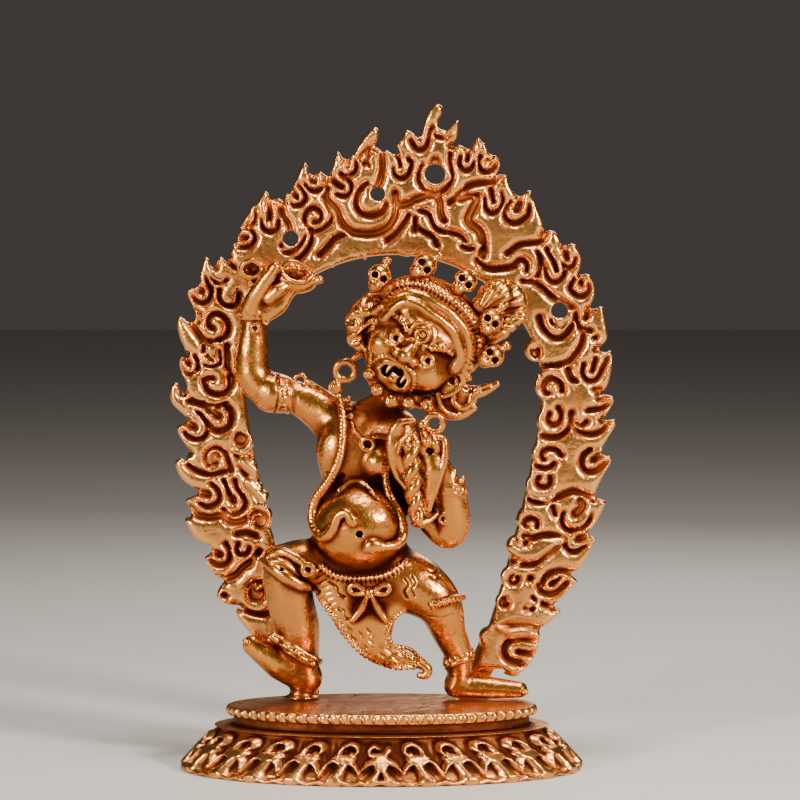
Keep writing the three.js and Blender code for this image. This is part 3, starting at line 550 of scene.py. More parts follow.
def addNoise(tree, place, scale, detail):
    node = tree.nodes.new("ShaderNodeTexNoise")
    node.inputs["Scale"].default_value = scale
    node.inputs["Detail"].default_value = detail
    tree.links.new(place, node.inputs["Vector"])
    return node.outputs["Fac"]


def addAttribute(tree, name):
    node = tree.nodes.new("ShaderNodeAttribute")
    node.attribute_name = name
    return node.outputs["Fac"]


casting = {
    # scale and detail of each noise
    "patches": (220.0, 3.0),
    "specks": (2600.0, 2.0),
    "pitted": (400.0, 1.0),
    "grain": (800.0, 2.0),
    "lumps": (330.0, 1.0),
    "pitScale": 900.0,
    # where gold turns brown and brown turns dark, from the ridges (below 0) to the hollows (above 0); the
    # darkening in the hollows is patina and painted shade
    "goldToBrown": (-0.50, 0.42),
    "brownToDark": (0.15, 0.90),
    "smoothToRough": (-0.3, 0.7),
    "patchShade": 0.35,
    "hollowRoughness": 0.25,
    "patchRoughness": 0.14,
    "speckRoughness": 0.10,
    # rim of a pit, and how much of the surface has any
    "pitRim": (0.02, 0.16),
    "pitShare": (0.62, 0.66),
    "speckHeight": 0.35,
    "grainHeight": 1.2,
    "lumpHeight": 2.0,
    "bumpStrength": 0.8,
    "bumpDistance": 0.00012,
}


def makeAgedCastingAndShade():
    # colour and roughness of a worn, gilt casting, darkened in its hollows by patina and painted shade, with
    # its pits and grain as a height
    group, given, made = makeGroup(
        "agedCastingAndShade",
        [
            ("Gold", "NodeSocketColor", (1, 0.7, 0.3, 1)),
            ("Brown", "NodeSocketColor", (0.5, 0.2, 0.05, 1)),
            ("Dark", "NodeSocketColor", (0.08, 0.02, 0.01, 1)),
            ("Fine hollow", "NodeSocketFloat", 0.0),
            ("Broad hollow", "NodeSocketFloat", 0.0),
            ("Deep shade", "NodeSocketFloat", 0.0),
            ("Dirt and shade", "NodeSocketFloat", 1.0),
            ("Satin", "NodeSocketFloat", 0.2),
        ],
        [("Colour", "NodeSocketColor"), ("Roughness", "NodeSocketFloat"), ("Height", "NodeSocketFloat")],
    )
    place = group.nodes.new("ShaderNodeTexCoord").outputs["Object"]
    patches = addNoise(group, place, *casting["patches"])
    specks = addNoise(group, place, *casting["specks"])
    # painted shade and patina: the hollows, added up and scaled, darken the colour towards brown and dark
    hollow = addMath(group, "ADD", given.outputs["Fine hollow"], given.outputs["Broad hollow"])
    hollow = addMath(group, "ADD", hollow, addMath(group, "MAXIMUM", given.outputs["Deep shade"], 0.0))
    hollow = addMath(group, "MULTIPLY", hollow, given.outputs["Dirt and shade"])
    uneven = addMath(group, "SUBTRACT", patches, 0.5)
    shade = addMath(group, "ADD", hollow, addMath(group, "MULTIPLY", uneven, casting["patchShade"]))
    browned = addRange(group, shade, *casting["goldToBrown"])
    warm = addMix(group, browned, given.outputs["Gold"], given.outputs["Brown"])
    darkened = addRange(group, shade, *casting["brownToDark"])
    colour = addMix(group, darkened, warm, given.outputs["Dark"])
    group.links.new(colour, made.inputs["Colour"])
    rough = addMath(
        group, "MULTIPLY", addRange(group, shade, *casting["smoothToRough"]), casting["hollowRoughness"]
    )
    for noise, share in [(patches, casting["patchRoughness"]), (specks, casting["speckRoughness"])]:
        rough = addMath(group, "ADD", rough, addMath(group, "MULTIPLY", noise, share))
    group.links.new(addMath(group, "ADD", rough, given.outputs["Satin"]), made.inputs["Roughness"])
    pits = group.nodes.new("ShaderNodeTexVoronoi")
    pits.inputs["Scale"].default_value = casting["pitScale"]
    group.links.new(place, pits.inputs["Vector"])
    pit = addRange(group, pits.outputs["Distance"], *casting["pitRim"])
    rare = addRange(group, addNoise(group, place, *casting["pitted"]), *casting["pitShare"])
    pitted = addMath(group, "MULTIPLY", addMath(group, "SUBTRACT", 1.0, pit), rare)
    height = addMath(group, "SUBTRACT", addMath(group, "MULTIPLY", specks, casting["speckHeight"]), pitted)
    for name, share in [("grain", casting["grainHeight"]), ("lumps", casting["lumpHeight"])]:
        noise = addNoise(group, place, *casting[name])
        height = addMath(group, "ADD", height, addMath(group, "MULTIPLY", noise, share))
    group.links.new(height, made.inputs["Height"])
    return group


agedCastingAndShade = makeAgedCastingAndShade()


def makeGilding(name, gold, brown, dark, dirtAndShade, satin):
    material = bpy.data.materials.new(name)
    material.use_nodes = True
    tree = material.node_tree
    shader = tree.nodes["Principled BSDF"]
    shader.inputs["Metallic"].default_value = 1.0
    agedAndShaded = tree.nodes.new("ShaderNodeGroup")
    agedAndShaded.node_tree = agedCastingAndShade
    for label, colour in [("Gold", gold), ("Brown", brown), ("Dark", dark)]:
        agedAndShaded.inputs[label].default_value = (*colour, 1)
    # how strongly the hollows darken the colour: dirt and painted shade
    agedAndShaded.inputs["Dirt and shade"].default_value = dirtAndShade
    agedAndShaded.inputs["Satin"].default_value = satin
    for label, (attribute, spread) in hollows.items():
        tree.links.new(addAttribute(tree, attribute), agedAndShaded.inputs[label])
    tree.links.new(agedAndShaded.outputs["Colour"], shader.inputs["Base Color"])
    tree.links.new(agedAndShaded.outputs["Roughness"], shader.inputs["Roughness"])
    bump = tree.nodes.new("ShaderNodeBump")
    bump.inputs["Strength"].default_value = casting["bumpStrength"]
    bump.inputs["Distance"].default_value = casting["bumpDistance"]
    tree.links.new(agedAndShaded.outputs["Height"], bump.inputs["Height"])
    tree.links.new(bump.outputs["Normal"], shader.inputs["Normal"])
    return material


def dress(piece, node, material):
    piece.data.materials.clear()
    piece.data.materials.append(material)
    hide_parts(node)
    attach(piece, "root")


report("studio")


# Lotus base

# Millimetres, apart from counts, shares and samples
base = {
    "footWidth": 53.5,
    "footDepth": 33.0,
    "plateWidth": 41.9,
    "plateDepth": 22.0,
    "plateTop": 8.6,
    "plateThickness": 1.3,
    "neckInset": 1.1,
    "neckBlend": 0.6,
    # the skirt's outline: height, and how far it spreads from the plate's size to the foot's
    "footEdgeHeight": 0.9,
    "bellyHeight": 3.0,
    "bellySpread": 0.68,
    "shoulderHeight": 5.6,
    "shoulderSpread": 0.27,
    "shoulderRounding": 0.35,
    "petalCount": 24,
    # a drawn petal: half its width, its top, the drawing's height at the shoulder, the step of the drawing
    "petalHalf": 2.9,
    "petalTop": 8.2,
    "petalTall": 8.4,
    "petalStep": 0.05,
    # where the petals fade out, from the shoulder
    "petalFade": (-0.2, 0.4),
    # from the edge of a form to its full rise, in the petal's drawing
    "rimBreadth": 0.4,
    "scrollBreadth": 0.7,
    "middleBreadth": 0.8,
    "rimDrop": 0.15,
    "plateInset": 0.35,
    "ovalSamples": 4000,
    "beadPitch": 1.45,
    "beadRadius": 0.58,
    "beadDrop": 0.05,
    "beadBlend": 0.12,
    "recessDepth": -0.95,
    "petalRise": 0.28,
    "margin": 0.7,
    "step": 0.13,
    "mostFaces": 190000,
}


def raised(form, breadth, deepest, top):
    # a rounded relief over a flat drawing
    rise = np.sqrt(1 - (1 - np.clip(-form / breadth, 0, 1)) ** 2)
    return deepest + rise * (top - deepest)


def makePetals():
    # the drawn relief of one scrolled petal and of the middle one, from side to side and up from the foot
    petal = Relief((-base["petalHalf"], 0.0), (base["petalHalf"], base["petalTop"]), base["petalStep"])
    scroll = petal.empty()
    curl = path("-0.9,5.3 -0.7,6.7 0.3,7.5 1.5,7.3 2.0,6.4 1.5,5.7 0.9,5.9")
    petal.stroke(scroll, curl, [0.5, 0.5, 0.5, 0.5, 0.46, 0.4, 0.36])
    petal.stroke(scroll, path("-1.1,5.0 0.2,4.7 1.3,4.9"), [0.85, 1.15, 0.8])
    petal.stroke(scroll, path("0.2,4.6 0.1,3.4 -0.3,2.2 -0.6,0.9"), [1.0, 0.72, 0.85, 1.3])
    petal.stroke(scroll, path("-1.0,4.9 -2.1,4.2 -2.6,3.0 -2.9,1.9"), [0.5, 0.45, 0.4, 0.35])
    petal.stroke(scroll, path("1.1,4.4 2.0,3.6 2.7,2.4"), [0.55, 0.42, 0.3])
    foot = petal.empty()
    petal.stroke(foot, path("-3.2,0.85 -1.6,0.4 0,0.85 1.6,0.4 3.2,0.85"), 0.5)
    middle = petal.empty()
    petal.stroke(middle, path("0,4.7 0,3.7"), [1.5, 1.2])
    petal.stroke(middle, path("-0.4,5.7 -1.6,5.6 -2.0,6.5 -1.2,7.2 -0.4,6.8"), [0.5, 0.5, 0.48, 0.42, 0.36])
    petal.stroke(middle, path("0.7,5.9 1.3,6.6"), [0.6, 0.7])
    for side in [-1, 1]:
        petal.stroke(middle, path(f"{side * 0.8},4.6 {side * 1.9},4.2 {side * 2.9},3.0"), [0.8, 0.65, 0.3])
        petal.stroke(middle, path(f"{side * 0.45},2.9 {side * 0.9},1.9 {side * 1.5},0.8"), [0.5, 0.62, 1.0])
    low = base["recessDepth"]
    high = base["petalRise"]
    rim = raised(foot, base["rimBreadth"], low, high - base["rimDrop"])
    scroll = np.maximum(raised(scroll, base["scrollBreadth"], low, high), rim)
    middle = np.maximum(raised(middle, base["middleBreadth"], low, high), rim)
    return petal, scroll, middle


def ovalAway(x, y, wide, deep):
    # distances to an oval, below zero inside
    size = np.hypot(x / wide, y / deep)
    slope = np.hypot(x / wide ** 2, y / deep ** 2)
    return size * (size - 1) / np.maximum(slope, tiny)


def buildBase():
    margin = base["margin"]
    half = np.array([base["footWidth"] / 2 + margin, base["footDepth"] / 2 + margin])
    low = (-half[0], -half[1], -margin)
    clay = Clay(low, (half[0], half[1], base["plateTop"] + margin), base["step"] * coarser)
    x, y, z = np.meshgrid(*[axis.astype(np.float32) for axis in clay.axes], indexing="ij", sparse=True)
    heights = [0, base["footEdgeHeight"], base["bellyHeight"], base["shoulderHeight"]]
    spread = np.interp(z, heights, [1, 1, base["bellySpread"], base["shoulderSpread"]])
    wide = (base["plateWidth"] + (base["footWidth"] - base["plateWidth"]) * spread) / 2
    deep = (base["plateDepth"] + (base["footDepth"] - base["plateDepth"]) * spread) / 2
    skirt = ovalAway(x, y, wide, deep)
    # how far round the foot from the middle of the front, in petals
    turn = np.linspace(0, math.pi, base["ovalSamples"] // 2)
    stepX = np.gradient(np.sin(turn)) * base["footWidth"]
    stepY = np.gradient(np.cos(turn)) * base["footDepth"]
    length = np.cumsum(np.hypot(stepX, stepY))
    angle = np.arctan2(np.abs(x) / base["footWidth"], -y / base["footDepth"])
    petals = np.interp(angle, turn, length / length[-1] * base["petalCount"] / 2)
    across = (petals + 0.5) % 1.0 * 2 - 1
    upward = z / base["shoulderHeight"] * base["petalTall"] + 0 * x + 0 * y
    petal, scroll, middle = makePetals()
    height = petal.read(scroll, -across * base["petalHalf"], upward)
    centre = (petals < 0.5) & (y < 0)
    middleHeight = petal.read(middle, np.sign(x) * petals * 2 * base["petalHalf"], upward)
    height = np.where(centre, middleHeight, height)
    fadeLow, fadeHigh = [base["shoulderHeight"] + offset for offset in base["petalFade"]]
    fade = 1 - smoothStep(fadeLow, fadeHigh, z)
    body = np.maximum(skirt - height * fade, z - base["shoulderHeight"] - base["shoulderRounding"])
    neckWide = base["plateWidth"] / 2 - base["neckInset"]
    neckDeep = base["plateDepth"] / 2 - base["neckInset"]
    neck = ovalAway(x, y, neckWide, neckDeep) + 0 * z
    body = smoothMin(body, neck, base["neckBlend"])
    plateLow = base["plateTop"] - base["plateThickness"]
    plateWide = base["plateWidth"] / 2 - base["plateInset"]
    plateDeep = base["plateDepth"] / 2 - base["plateInset"]
    plate = ovalAway(x, y, plateWide, plateDeep)
    plate = np.maximum(plate, np.abs(z - (plateLow + base["plateTop"]) / 2) - base["plateThickness"] / 2)
    body = np.minimum(np.maximum(body, z - base["plateTop"]), plate)
    clay.field = np.maximum(body, -z).astype(np.float32)
    rim = np.linspace(0, 2 * math.pi, base["ovalSamples"])
    rimX = (base["plateWidth"] / 2 - base["beadRadius"]) * np.sin(rim)
    rimY = -(base["plateDepth"] / 2 - base["beadRadius"]) * np.cos(rim)
    walked = np.concatenate([[0], np.cumsum(np.hypot(np.diff(rimX), np.diff(rimY)))])
    beadCount = int(walked[-1] / base["beadPitch"])
    beadHeight = base["plateTop"] - base["beadRadius"] - base["beadDrop"]
    for bead in range(beadCount):
        here = (bead + 0.5) / beadCount * walked[-1]
        centre = (np.interp(here, walked, rimX), np.interp(here, walked, rimY), beadHeight)
        clay.egg(centre, (base["beadRadius"],) * 3, base["beadBlend"])
    clay.field = np.maximum(clay.field, -z)
    return clay


# Halo of flames

# Millimetres, apart from the taper
halo = {
    "axis": 1.6,
    "widestHeight": 50.5,
    "innerHalfWidth": 20.1,
    "innerRise": 18.2,
    "taper": 0.0555,
    "taperPower": 1.4,
    "recess": 6.7,
    "back": 8.3,
    "footHeight": 14.5,
    "rise": 1.15,
    "rimWidth": 1.0,
    "edgeRounding": 0.2,
    "edgeBlend": 0.3,
    "softening": 0.1,
    "grooveTrim": 0.12,
    "notchRadius": 0.55,
    "wallWidth": 0.22,
    "wallSlope": 0.34,
    "wallOverhang": 0.3,
    "leafWidth": 0.7,
    "leafRise": 0.2,
    "leafMargin": 0.25,
    "ballLift": 0.45,
    # the tangs: the height of the lower end, and how far the upper end is from the axis and over footHeight
    "tangFoot": 8.9,
    "tangReach": 14,
    "tangRise": 2.5,
    # two corners of the drawing and the distance between its points
    "drawing": ((-31, 7), (34, 91), 0.1),
    "step": 0.13,
    "mostFaces": 190000,
}

# The outer edge with its flame tips, from the lower left over the top to the lower right
haloEdge = (
    "-12.5,12.0 -14.8,13.4 -16.6,15.4 -17.6,17.0 -18.4,18.0 -19.2,19.0 -19.75,20.2 -19.6,20.65 -19.0,20.3 "
    "-19.3,21.0 -20.4,21.2 -21.3,21.45 -22.2,22.2 -22.3,23.0 -21.9,23.8 -21.4,24.5 -22.6,25.2 -23.3,26.1 "
    "-23.85,27.2 -23.9,27.7 -23.3,28.2 -23.1,28.9 -23.6,29.4 -24.2,29.7 -25.2,30.3 -26.0,31.3 -26.6,32.5 "
    "-26.6,33.0 -26.0,33.1 -25.9,33.7 -26.0,34.4 -26.5,35.2 -26.5,35.6 -25.4,36.0 -24.9,36.4 -25.0,36.9 "
    "-25.8,37.4 -26.9,38.2 -27.6,39.2 -28.0,40.4 -27.8,41.0 -27.2,41.1 -26.6,40.8 -26.3,41.6 -26.1,42.4 "
    "-26.6,43.1 -27.2,43.9 -27.7,45.0 -27.6,45.6 -26.9,45.8 -26.3,46.2 -26.6,46.9 -27.5,47.7 -28.4,48.7 "
    "-28.75,49.9 -28.6,50.9 -28.15,51.4 -27.6,51.2 -27.2,50.3 -26.7,49.8 -26.3,50.7 -26.6,51.8 -27.1,52.9 "
    "-27.45,54.2 -27.2,54.8 -26.7,54.8 -26.4,55.2 -26.8,56.4 -27.3,57.5 -27.75,59.4 -27.5,60.3 -27.0,60.2 "
    "-26.2,59.6 -25.6,59.9 -25.2,60.5 -25.5,61.7 -26.2,63.2 -26.3,63.9 -25.9,64.1 -25.2,64.3 -24.7,65.0 "
    "-24.5,66.3 -24.2,67.8 -23.85,68.4 -23.5,68.1 -23.1,67.2 -22.7,67.0 -22.3,67.6 -21.85,68.5 -21.4,68.1 "
    "-20.9,67.7 -20.6,68.6 -20.3,69.4 -19.5,71.0 -19.0,72.5 -18.5,73.8 -17.85,74.6 -17.0,75.6 -16.2,76.8 "
    "-15.75,77.3 -15.3,76.9 -15.1,76.2 -14.7,76.2 -13.9,76.3 -13.3,76.0 -12.9,76.6 -12.3,77.2 -11.75,78.1 "
    "-11.4,79.5 -10.9,80.6 -10.4,81.15 -9.95,80.6 -9.85,79.8 -9.4,79.5 -8.8,79.6 -8.3,79.95 -7.7,79.5 "
    "-7.1,79.4 -6.75,80.2 -6.45,81.5 -6.0,82.65 -5.6,82.3 -5.2,81.7 -4.5,81.8 -4.0,81.8 -3.4,83.0 -2.7,84.2 "
    "-1.9,85.3 -1.2,85.85 -0.6,85.8 -0.35,85.1 -0.65,84.1 -0.9,83.4 -0.4,83.0 0.1,82.6 0.6,82.75 1.3,82.3 "
    "1.9,82.3 2.3,82.7 2.15,83.6 2.7,84.6 3.4,85.45 4.1,85.0 4.6,84.6 5.1,84.7 5.4,85.3 5.7,86.5 6.2,88.0 "
    "7.0,88.8 7.75,89.0 8.2,88.5 8.15,87.8 7.75,87.0 7.5,86.2 7.8,85.7 8.6,85.5 9.3,85.9 10.1,86.75 "
    "10.45,86.1 10.3,85.0 10.0,84.3 9.5,83.6 9.8,83.3 10.4,83.5 11.2,83.2 11.6,83.0 12.1,83.1 12.6,84.0 "
    "13.0,84.5 13.4,84.1 14.1,83.0 14.4,82.5 14.8,82.2 15.5,82.0 16.0,81.2 15.85,80.3 15.5,79.6 16.2,79.5 "
    "16.8,79.4 17.1,78.6 17.6,77.5 18.1,76.8 18.7,76.7 19.3,77.1 19.95,77.4 20.3,76.5 20.9,75.1 21.6,73.7 "
    "21.9,72.3 21.7,71.5 22.1,71.8 22.9,72.0 23.7,71.5 24.2,70.6 24.5,70.0 25.0,70.0 25.8,70.2 26.5,69.5 "
    "26.95,68.4 26.85,67.2 26.6,66.4 27.0,66.0 27.7,66.1 28.4,65.5 28.8,64.2 28.65,62.9 28.2,61.9 28.6,61.4 "
    "29.2,61.5 29.9,61.6 30.15,60.9 30.3,59.9 30.55,58.4 30.4,57.4 30.0,56.8 29.5,56.2 29.7,55.6 30.3,55.5 "
    "31.05,55.7 31.2,54.4 31.05,53.1 30.7,51.6 30.2,50.6 29.6,50.0 30.0,49.7 30.8,49.7 31.35,49.4 31.3,48.7 "
    "30.8,47.8 30.2,46.8 30.2,46.3 30.8,46.3 31.6,46.4 31.65,45.8 31.2,44.9 30.5,43.8 29.8,42.6 29.7,42.0 "
    "30.2,41.5 31.1,41.2 30.9,40.4 30.3,39.4 29.6,38.1 29.1,37.0 28.9,36.2 29.2,35.7 30.35,35.3 30.1,34.6 "
    "29.4,33.1 28.7,32.0 28.0,31.2 28.2,30.7 28.95,30.3 28.7,29.7 28.1,28.2 27.4,27.0 26.9,26.2 26.1,25.8 "
    "25.7,25.3 26.4,24.5 26.0,23.9 24.9,22.6 24.0,21.8 23.4,21.3 23.5,20.8 24.3,20.4 23.9,19.9 22.8,18.9 "
    "21.8,18.2 21.4,17.7 21.5,17.0 21.3,15.8 20.9,14.6 20.2,13.3 19.1,12.2 18.1,11.4 16.6,11.8 15.2,12.5"
)

# Thin raised walls
haloWalls = [
    "-24.3,66 -23.9,64.6 -23.6,63.7 -24,62.9 -24.7,63 -25.4,63.6 -26,63.9",
    "-23.6,68 -23.4,66.9 -22.8,65.9 -22,65.3 -21.3,65.5 -21.2,66.2 -21.6,66.5",
    "-21.7,68.2 -21.1,67.3 -20.3,66.7 -20,66 -20.4,65.2 -21.5,64.6 -22.4,64.5 -23,65",
    "-21.3,63.9 -21.4,63 -20.9,62.4 -20.2,62.6 -19.9,63.4 -19.7,64.3 -19.3,65.2",
    "-15.75,74.6 -15.8,73.2 -15.3,72.5 -14.6,72.7 -14.4,73.6 -14.2,75",
    "-18.9,71.9 -18,71.7 -17.6,71.1 -18.1,70.4 -19,70.2 -19.9,70.2",
    "-12.6,75.6 -11.8,74.2 -10.8,73 -10.5,72 -10.9,71 -11.4,70.3 -12.4,69.8 -13.6,69.4",
    "-10.2,72.2 -9.9,71.2 -10.4,70 -11.2,69 -12.6,68.4 -13.8,69 -14.1,70 -13.9,70.8",
    "-6.4,80.5 -6.1,79.3 -5.4,78.6 -4.7,78.2 -4.7,77.4 -5.4,77.2 -6.2,77.6 -7,78.2",
    "-5.4,80.3 -4.9,79.9 -4.3,80.1 -4,80.9 -3.9,82",
    "-0.8,82.4 -1.5,81.6 -1.3,80.9 -1.2,80.4 -1.8,80.1 -2.5,80.3 -2.9,81",
    "-10.1,79.6 -9.9,78.4 -9.3,78 -8.6,78.1 -8.4,79.4",
    "-11.8,78 -11.2,77.3 -10.9,76.6 -11.1,76 -11.8,75.9 -12.4,76.4 -12.8,76.8",
    "-1.2,78.3 -2.1,77.6 -2,76.6 -1.4,76",
    "3.4,85.3 4.1,84.9 4.5,84.2 5.1,83.6 5.5,84 5.7,84.9 6,86.2",
    "7.4,86.2 7.5,85.4 8.2,84.9 8.8,85 9.5,85.8 10.2,86.6",
    "0.6,82.6 1.5,81.9 2,80.9 2,80.1 2.6,79.6 3.2,80.1 3.2,81.2 2.8,82.3 2.2,83.5",
    "5.9,80.8 5.5,79.5 7,78.1 9.05,78.9 8.8,80.3",
    "10.5,83.2 11.1,82.2 11,81.2 11.5,80.8 12,81.3 12.4,82.6",
    "13.7,83.6 14.1,82.2 13.6,81.3 13.9,80.5 14.7,80.8 15.3,81.6",
    "11.8,77.3 13.3,77.3 14.1,77 14.4,76.1 14.5,75.3 15.2,75.1 15.8,75.8 15.8,76.8 15.2,77.8",
    "4.4,75.4 5.9,75.5 6.7,75.1 7.1,74.2 7.5,73 8.4,72.3 9.05,72.7 9.2,74",
    "5.2,73.9 5.3,72.8 6.7,72 7.8,71.2 8.8,71.2 9.8,70.7 10.3,69.6 11.3,68.9 12.6,69.2 13.3,70",
    "4.1,70.9 5.6,70.7 6.4,70 7.4,69.3 8.1,69.6 8.2,70.4 7.6,71.1",
    "3.9,72.8 3.6,71.8 2.75,70.8 2.1,69.9 2.3,69.1 3.2,68.7 4.1,68.8",
    "0.2,70.1 0,69.6 0.7,69.1 1.7,69.2",
    "18.1,76 17.4,75.1 17.7,74.3 18.5,74.1 19.3,74.9 19.6,76.1 20,77.1",
    "16.4,68.6 17.1,68.2 18.1,68.9 19,69.5 20,69.5 20.7,68.6 20.8,67.3 20.1,65.9 19.3,65.7 18.6,66.2",
    "24.2,68.2 25,67.6 25.5,67.7 25.7,68.6 25.4,69.5 26,69.9",
    "26.5,65.5 26.1,64.5 26.7,63.8 27.5,64.1 27.5,65.1 28,65.8",
    "21.2,69.6 22,68.6 22.7,67.3 23.2,66.2 23.9,66.1 24.2,66.9 23.6,68.2 22.9,69.3",
    "22.3,60.0 22.8,59.1 24.0,58.5 25,59.2 25.7,60.5",
    "24,59.8 24.8,60 25.8,61.1",
    "27.1,61.5 26.9,60.5 26.9,59.9 27.3,59.4 27.8,59.2 28.3,59.9 28.9,60.9 29.6,61.5",
    "28.1,54.3 27.75,53.1 27.8,52.6 28.3,52.2 28.9,52.6 29.4,53.9 30,55 30.8,55.4",
    "29,48.8 29.4,48.45 30.1,48.8 31.2,49.25",
    "29.7,42.4 28.5,41.9 27.8,41.2 27.95,40.4 28.6,40.1 29.3,40.7 30,41.1 30.8,41.2",
    "27,31.2 25.9,30.8 25.4,30.1 25.5,29.3 26.2,29.1 27,29.5 27.95,29.9 28.8,30.2",
    "25,33.4 25.2,32.6 26.1,32.15 27.1,32.4 27.9,33.4 28.3,34.4 29.2,34.8 30,35",
    "23.75,25.1 22.8,24.7 22.3,24 22.7,23.5 23.5,23.6 24.2,24.3 24.8,25 25.6,24.95 26.3,24.4",
    "20.6,15.6 20.1,15.3 19,15.4 17.9,15.7 17.4,15.1 17.7,14.4 18.75,14.2 19.4,13.7 19.8,13.2",
    "-27.2,54.6 -26.8,54 -26.2,53.2 -25.6,53.2 -25.3,53.9 -25.55,54.6 -25.9,55.3",
    (
        "-24.2,55.1 -23.9,54.4 -23.25,54 -22.4,54.2 -22.4,54.7 -23,55 "
        "-23.25,55.5 -23.25,56.2 -22.6,56.7 -21.9,56.7"
    ),
    "-26.8,48.5 -25.8,47.7 -24.9,46.9 -24.2,45.9 -24.1,45 -24.7,44.3 -25.7,44.6 -26.6,45.3 -27.4,45.3",
    "-25.7,48.1 -24.3,47.7 -23.4,46.7 -22.6,45.95 -21.8,45.8 -21.2,46.5 -21.2,47.4 -21.6,48.1",
    "-24.1,37.2 -23.25,37.15 -22.8,36.5 -22.85,35.7 -23.5,35.3 -24.5,35.7 -25.3,35.8 -26.2,35.5",
    "-20.7,38.2 -20.3,36.9 -19.5,36.1 -19.2,35.4 -19.3,34.7 -20.1,34.3 -20.95,34.5 -21.2,35",
    "-22.85,29.3 -21.9,29.05 -21.2,28.4 -21.35,27.6 -22,27.4 -22.85,27.8 -23.8,27.6",
    "-6.6,67.2 -5.6,69.0 -4.3,70.3 -3.3,69.8 -3.0,68.4",
    "-2.3,68.0 -2.0,69.4 -1.2,70.2 0.2,70.5",
    "-24.4,54.4 -24.3,53.6 -23.7,53.35 -22.8,53.2 -21.9,53.5 -21.35,53.2 -20.95,52.7",
    "-25,52.7 -25.95,51.75 -26.1,50.7 -25.4,49.7 -24.6,49.3 -23.9,49.5",
    "-20.4,56.1 -20,54.4 -19.5,52.7 -18.6,51.2 -18.4,50.8",
    "-18.6,50.7 -19.6,49.8 -20.7,49.3 -22.3,48.85 -23.6,48.9",
    "-23.4,43.9 -24.2,43 -24.6,41.6 -24.3,40.3 -23.5,39.6 -22.6,39.6 -21.8,40.1 -21.8,41",
    "-18.9,44.9 -17.9,44.3 -17.6,43.2 -18.2,42.2 -19.3,41.9 -20.4,42.5 -20.6,43.6",
    "-21.9,38 -21.35,36.9 -21.3,35.5 -21.9,34.6 -23,33.9 -23.9,34.05 -24.9,34.7 -26,35.4",
    "-17.8,34.3 -16.9,35 -15.8,34.6 -15.1,33.2 -15.4,32 -16.2,31.5 -17,31.5 -17.8,31.9 -18,32.8",
    "-20.3,28.8 -20,27.95 -19.5,27.6 -18.4,27.6 -17.6,28.2 -17.3,29.2 -17.8,30 -18.6,30.1",
    "-18.6,23.65 -19,22.4 -18.5,21.5 -17.6,20.8 -16.5,20.65 -15.5,21.2 -15.25,22.15",
    "-17,23.4 -16.5,23.8 -15.8,24 -15.7,23.5",
    "-14.6,19.3 -13.8,18.8 -13.8,18.2",
    "-15.2,31.2 -14.9,30 -15.8,29.9",
    "-22.2,22.4 -21.6,23.3 -20.7,23.2 -20.3,22.4 -20.7,21.7 -21.6,21.7",
    "22,43.5 21.3,42.8 20.9,41.9 21,40.9 21.7,40.5 22.5,40.5",
    "22,39.3 21.3,39.25 20.4,38.8 19.8,38 19.75,36.9 20.2,36.1 21.2,35.7 22.4,35.5 23.3,36.1",
    "18.4,32.8 18.75,32.15 19.3,31.6 20,31.35 20.6,31.6",
    "21.2,52.3 20.9,51.1 21.2,50 22,49.4 22.8,49.5",
    "21.7,52.8 22.5,53.2 23.6,53.2 24.4,52.7 25,51.6 25.8,51.15 26.7,51.1",
    "22.8,48.1 21.9,47.7 21.45,46.6 21.6,45.5 22.4,44.9 23.5,44.7 24.4,45.1 25,45.95",
    "18.6,27.0 17.2,26.3 16.4,25.2 16.9,23.9 18.1,23.4 19.1,23.9 19.4,24.9 18.9,25.6 18.1,25.5",
    "17.6,22.9 16.2,22.6 15.7,21.5 16.2,20.5 17.3,20.3 18.1,21.0 18.2,21.9 17.5,22.3",
    "19.2,22.6 20.4,22.9 21.2,22.2 21.3,21.1 20.6,20.1 19.5,20.0 18.9,20.7 19.2,21.6",
]

# Fat leaves that lie over the plate: half widths, then the line
haloLeaves = [
    ([0.9, 0.95, 0.7, 0.25], "17.4,29.1 18.7,28.3 20.3,28.2 21.8,28.9 23.2,29.7 24.4,29.95"),
    ([0.55, 0.5, 0.2], "-16.8,27.2 -17.2,26 -18.3,24.8 -19.6,23.8 -20.8,23.3 -21.8,23.6"),
    (0.75, "-18.6,40.7 -16.7,39.2"),
    (0.65, "-17.9,37.9 -15.6,35.2"),
    ([0.7, 0.8, 0.3], "14.6,18.0 16.0,19.2 18.2,19.9 20.4,19.6 22.4,19.8"),
    ([0.6, 0.7, 0.6], "15.2,18.6 17.2,17.5 19.3,17.6 21.0,17.2"),
]

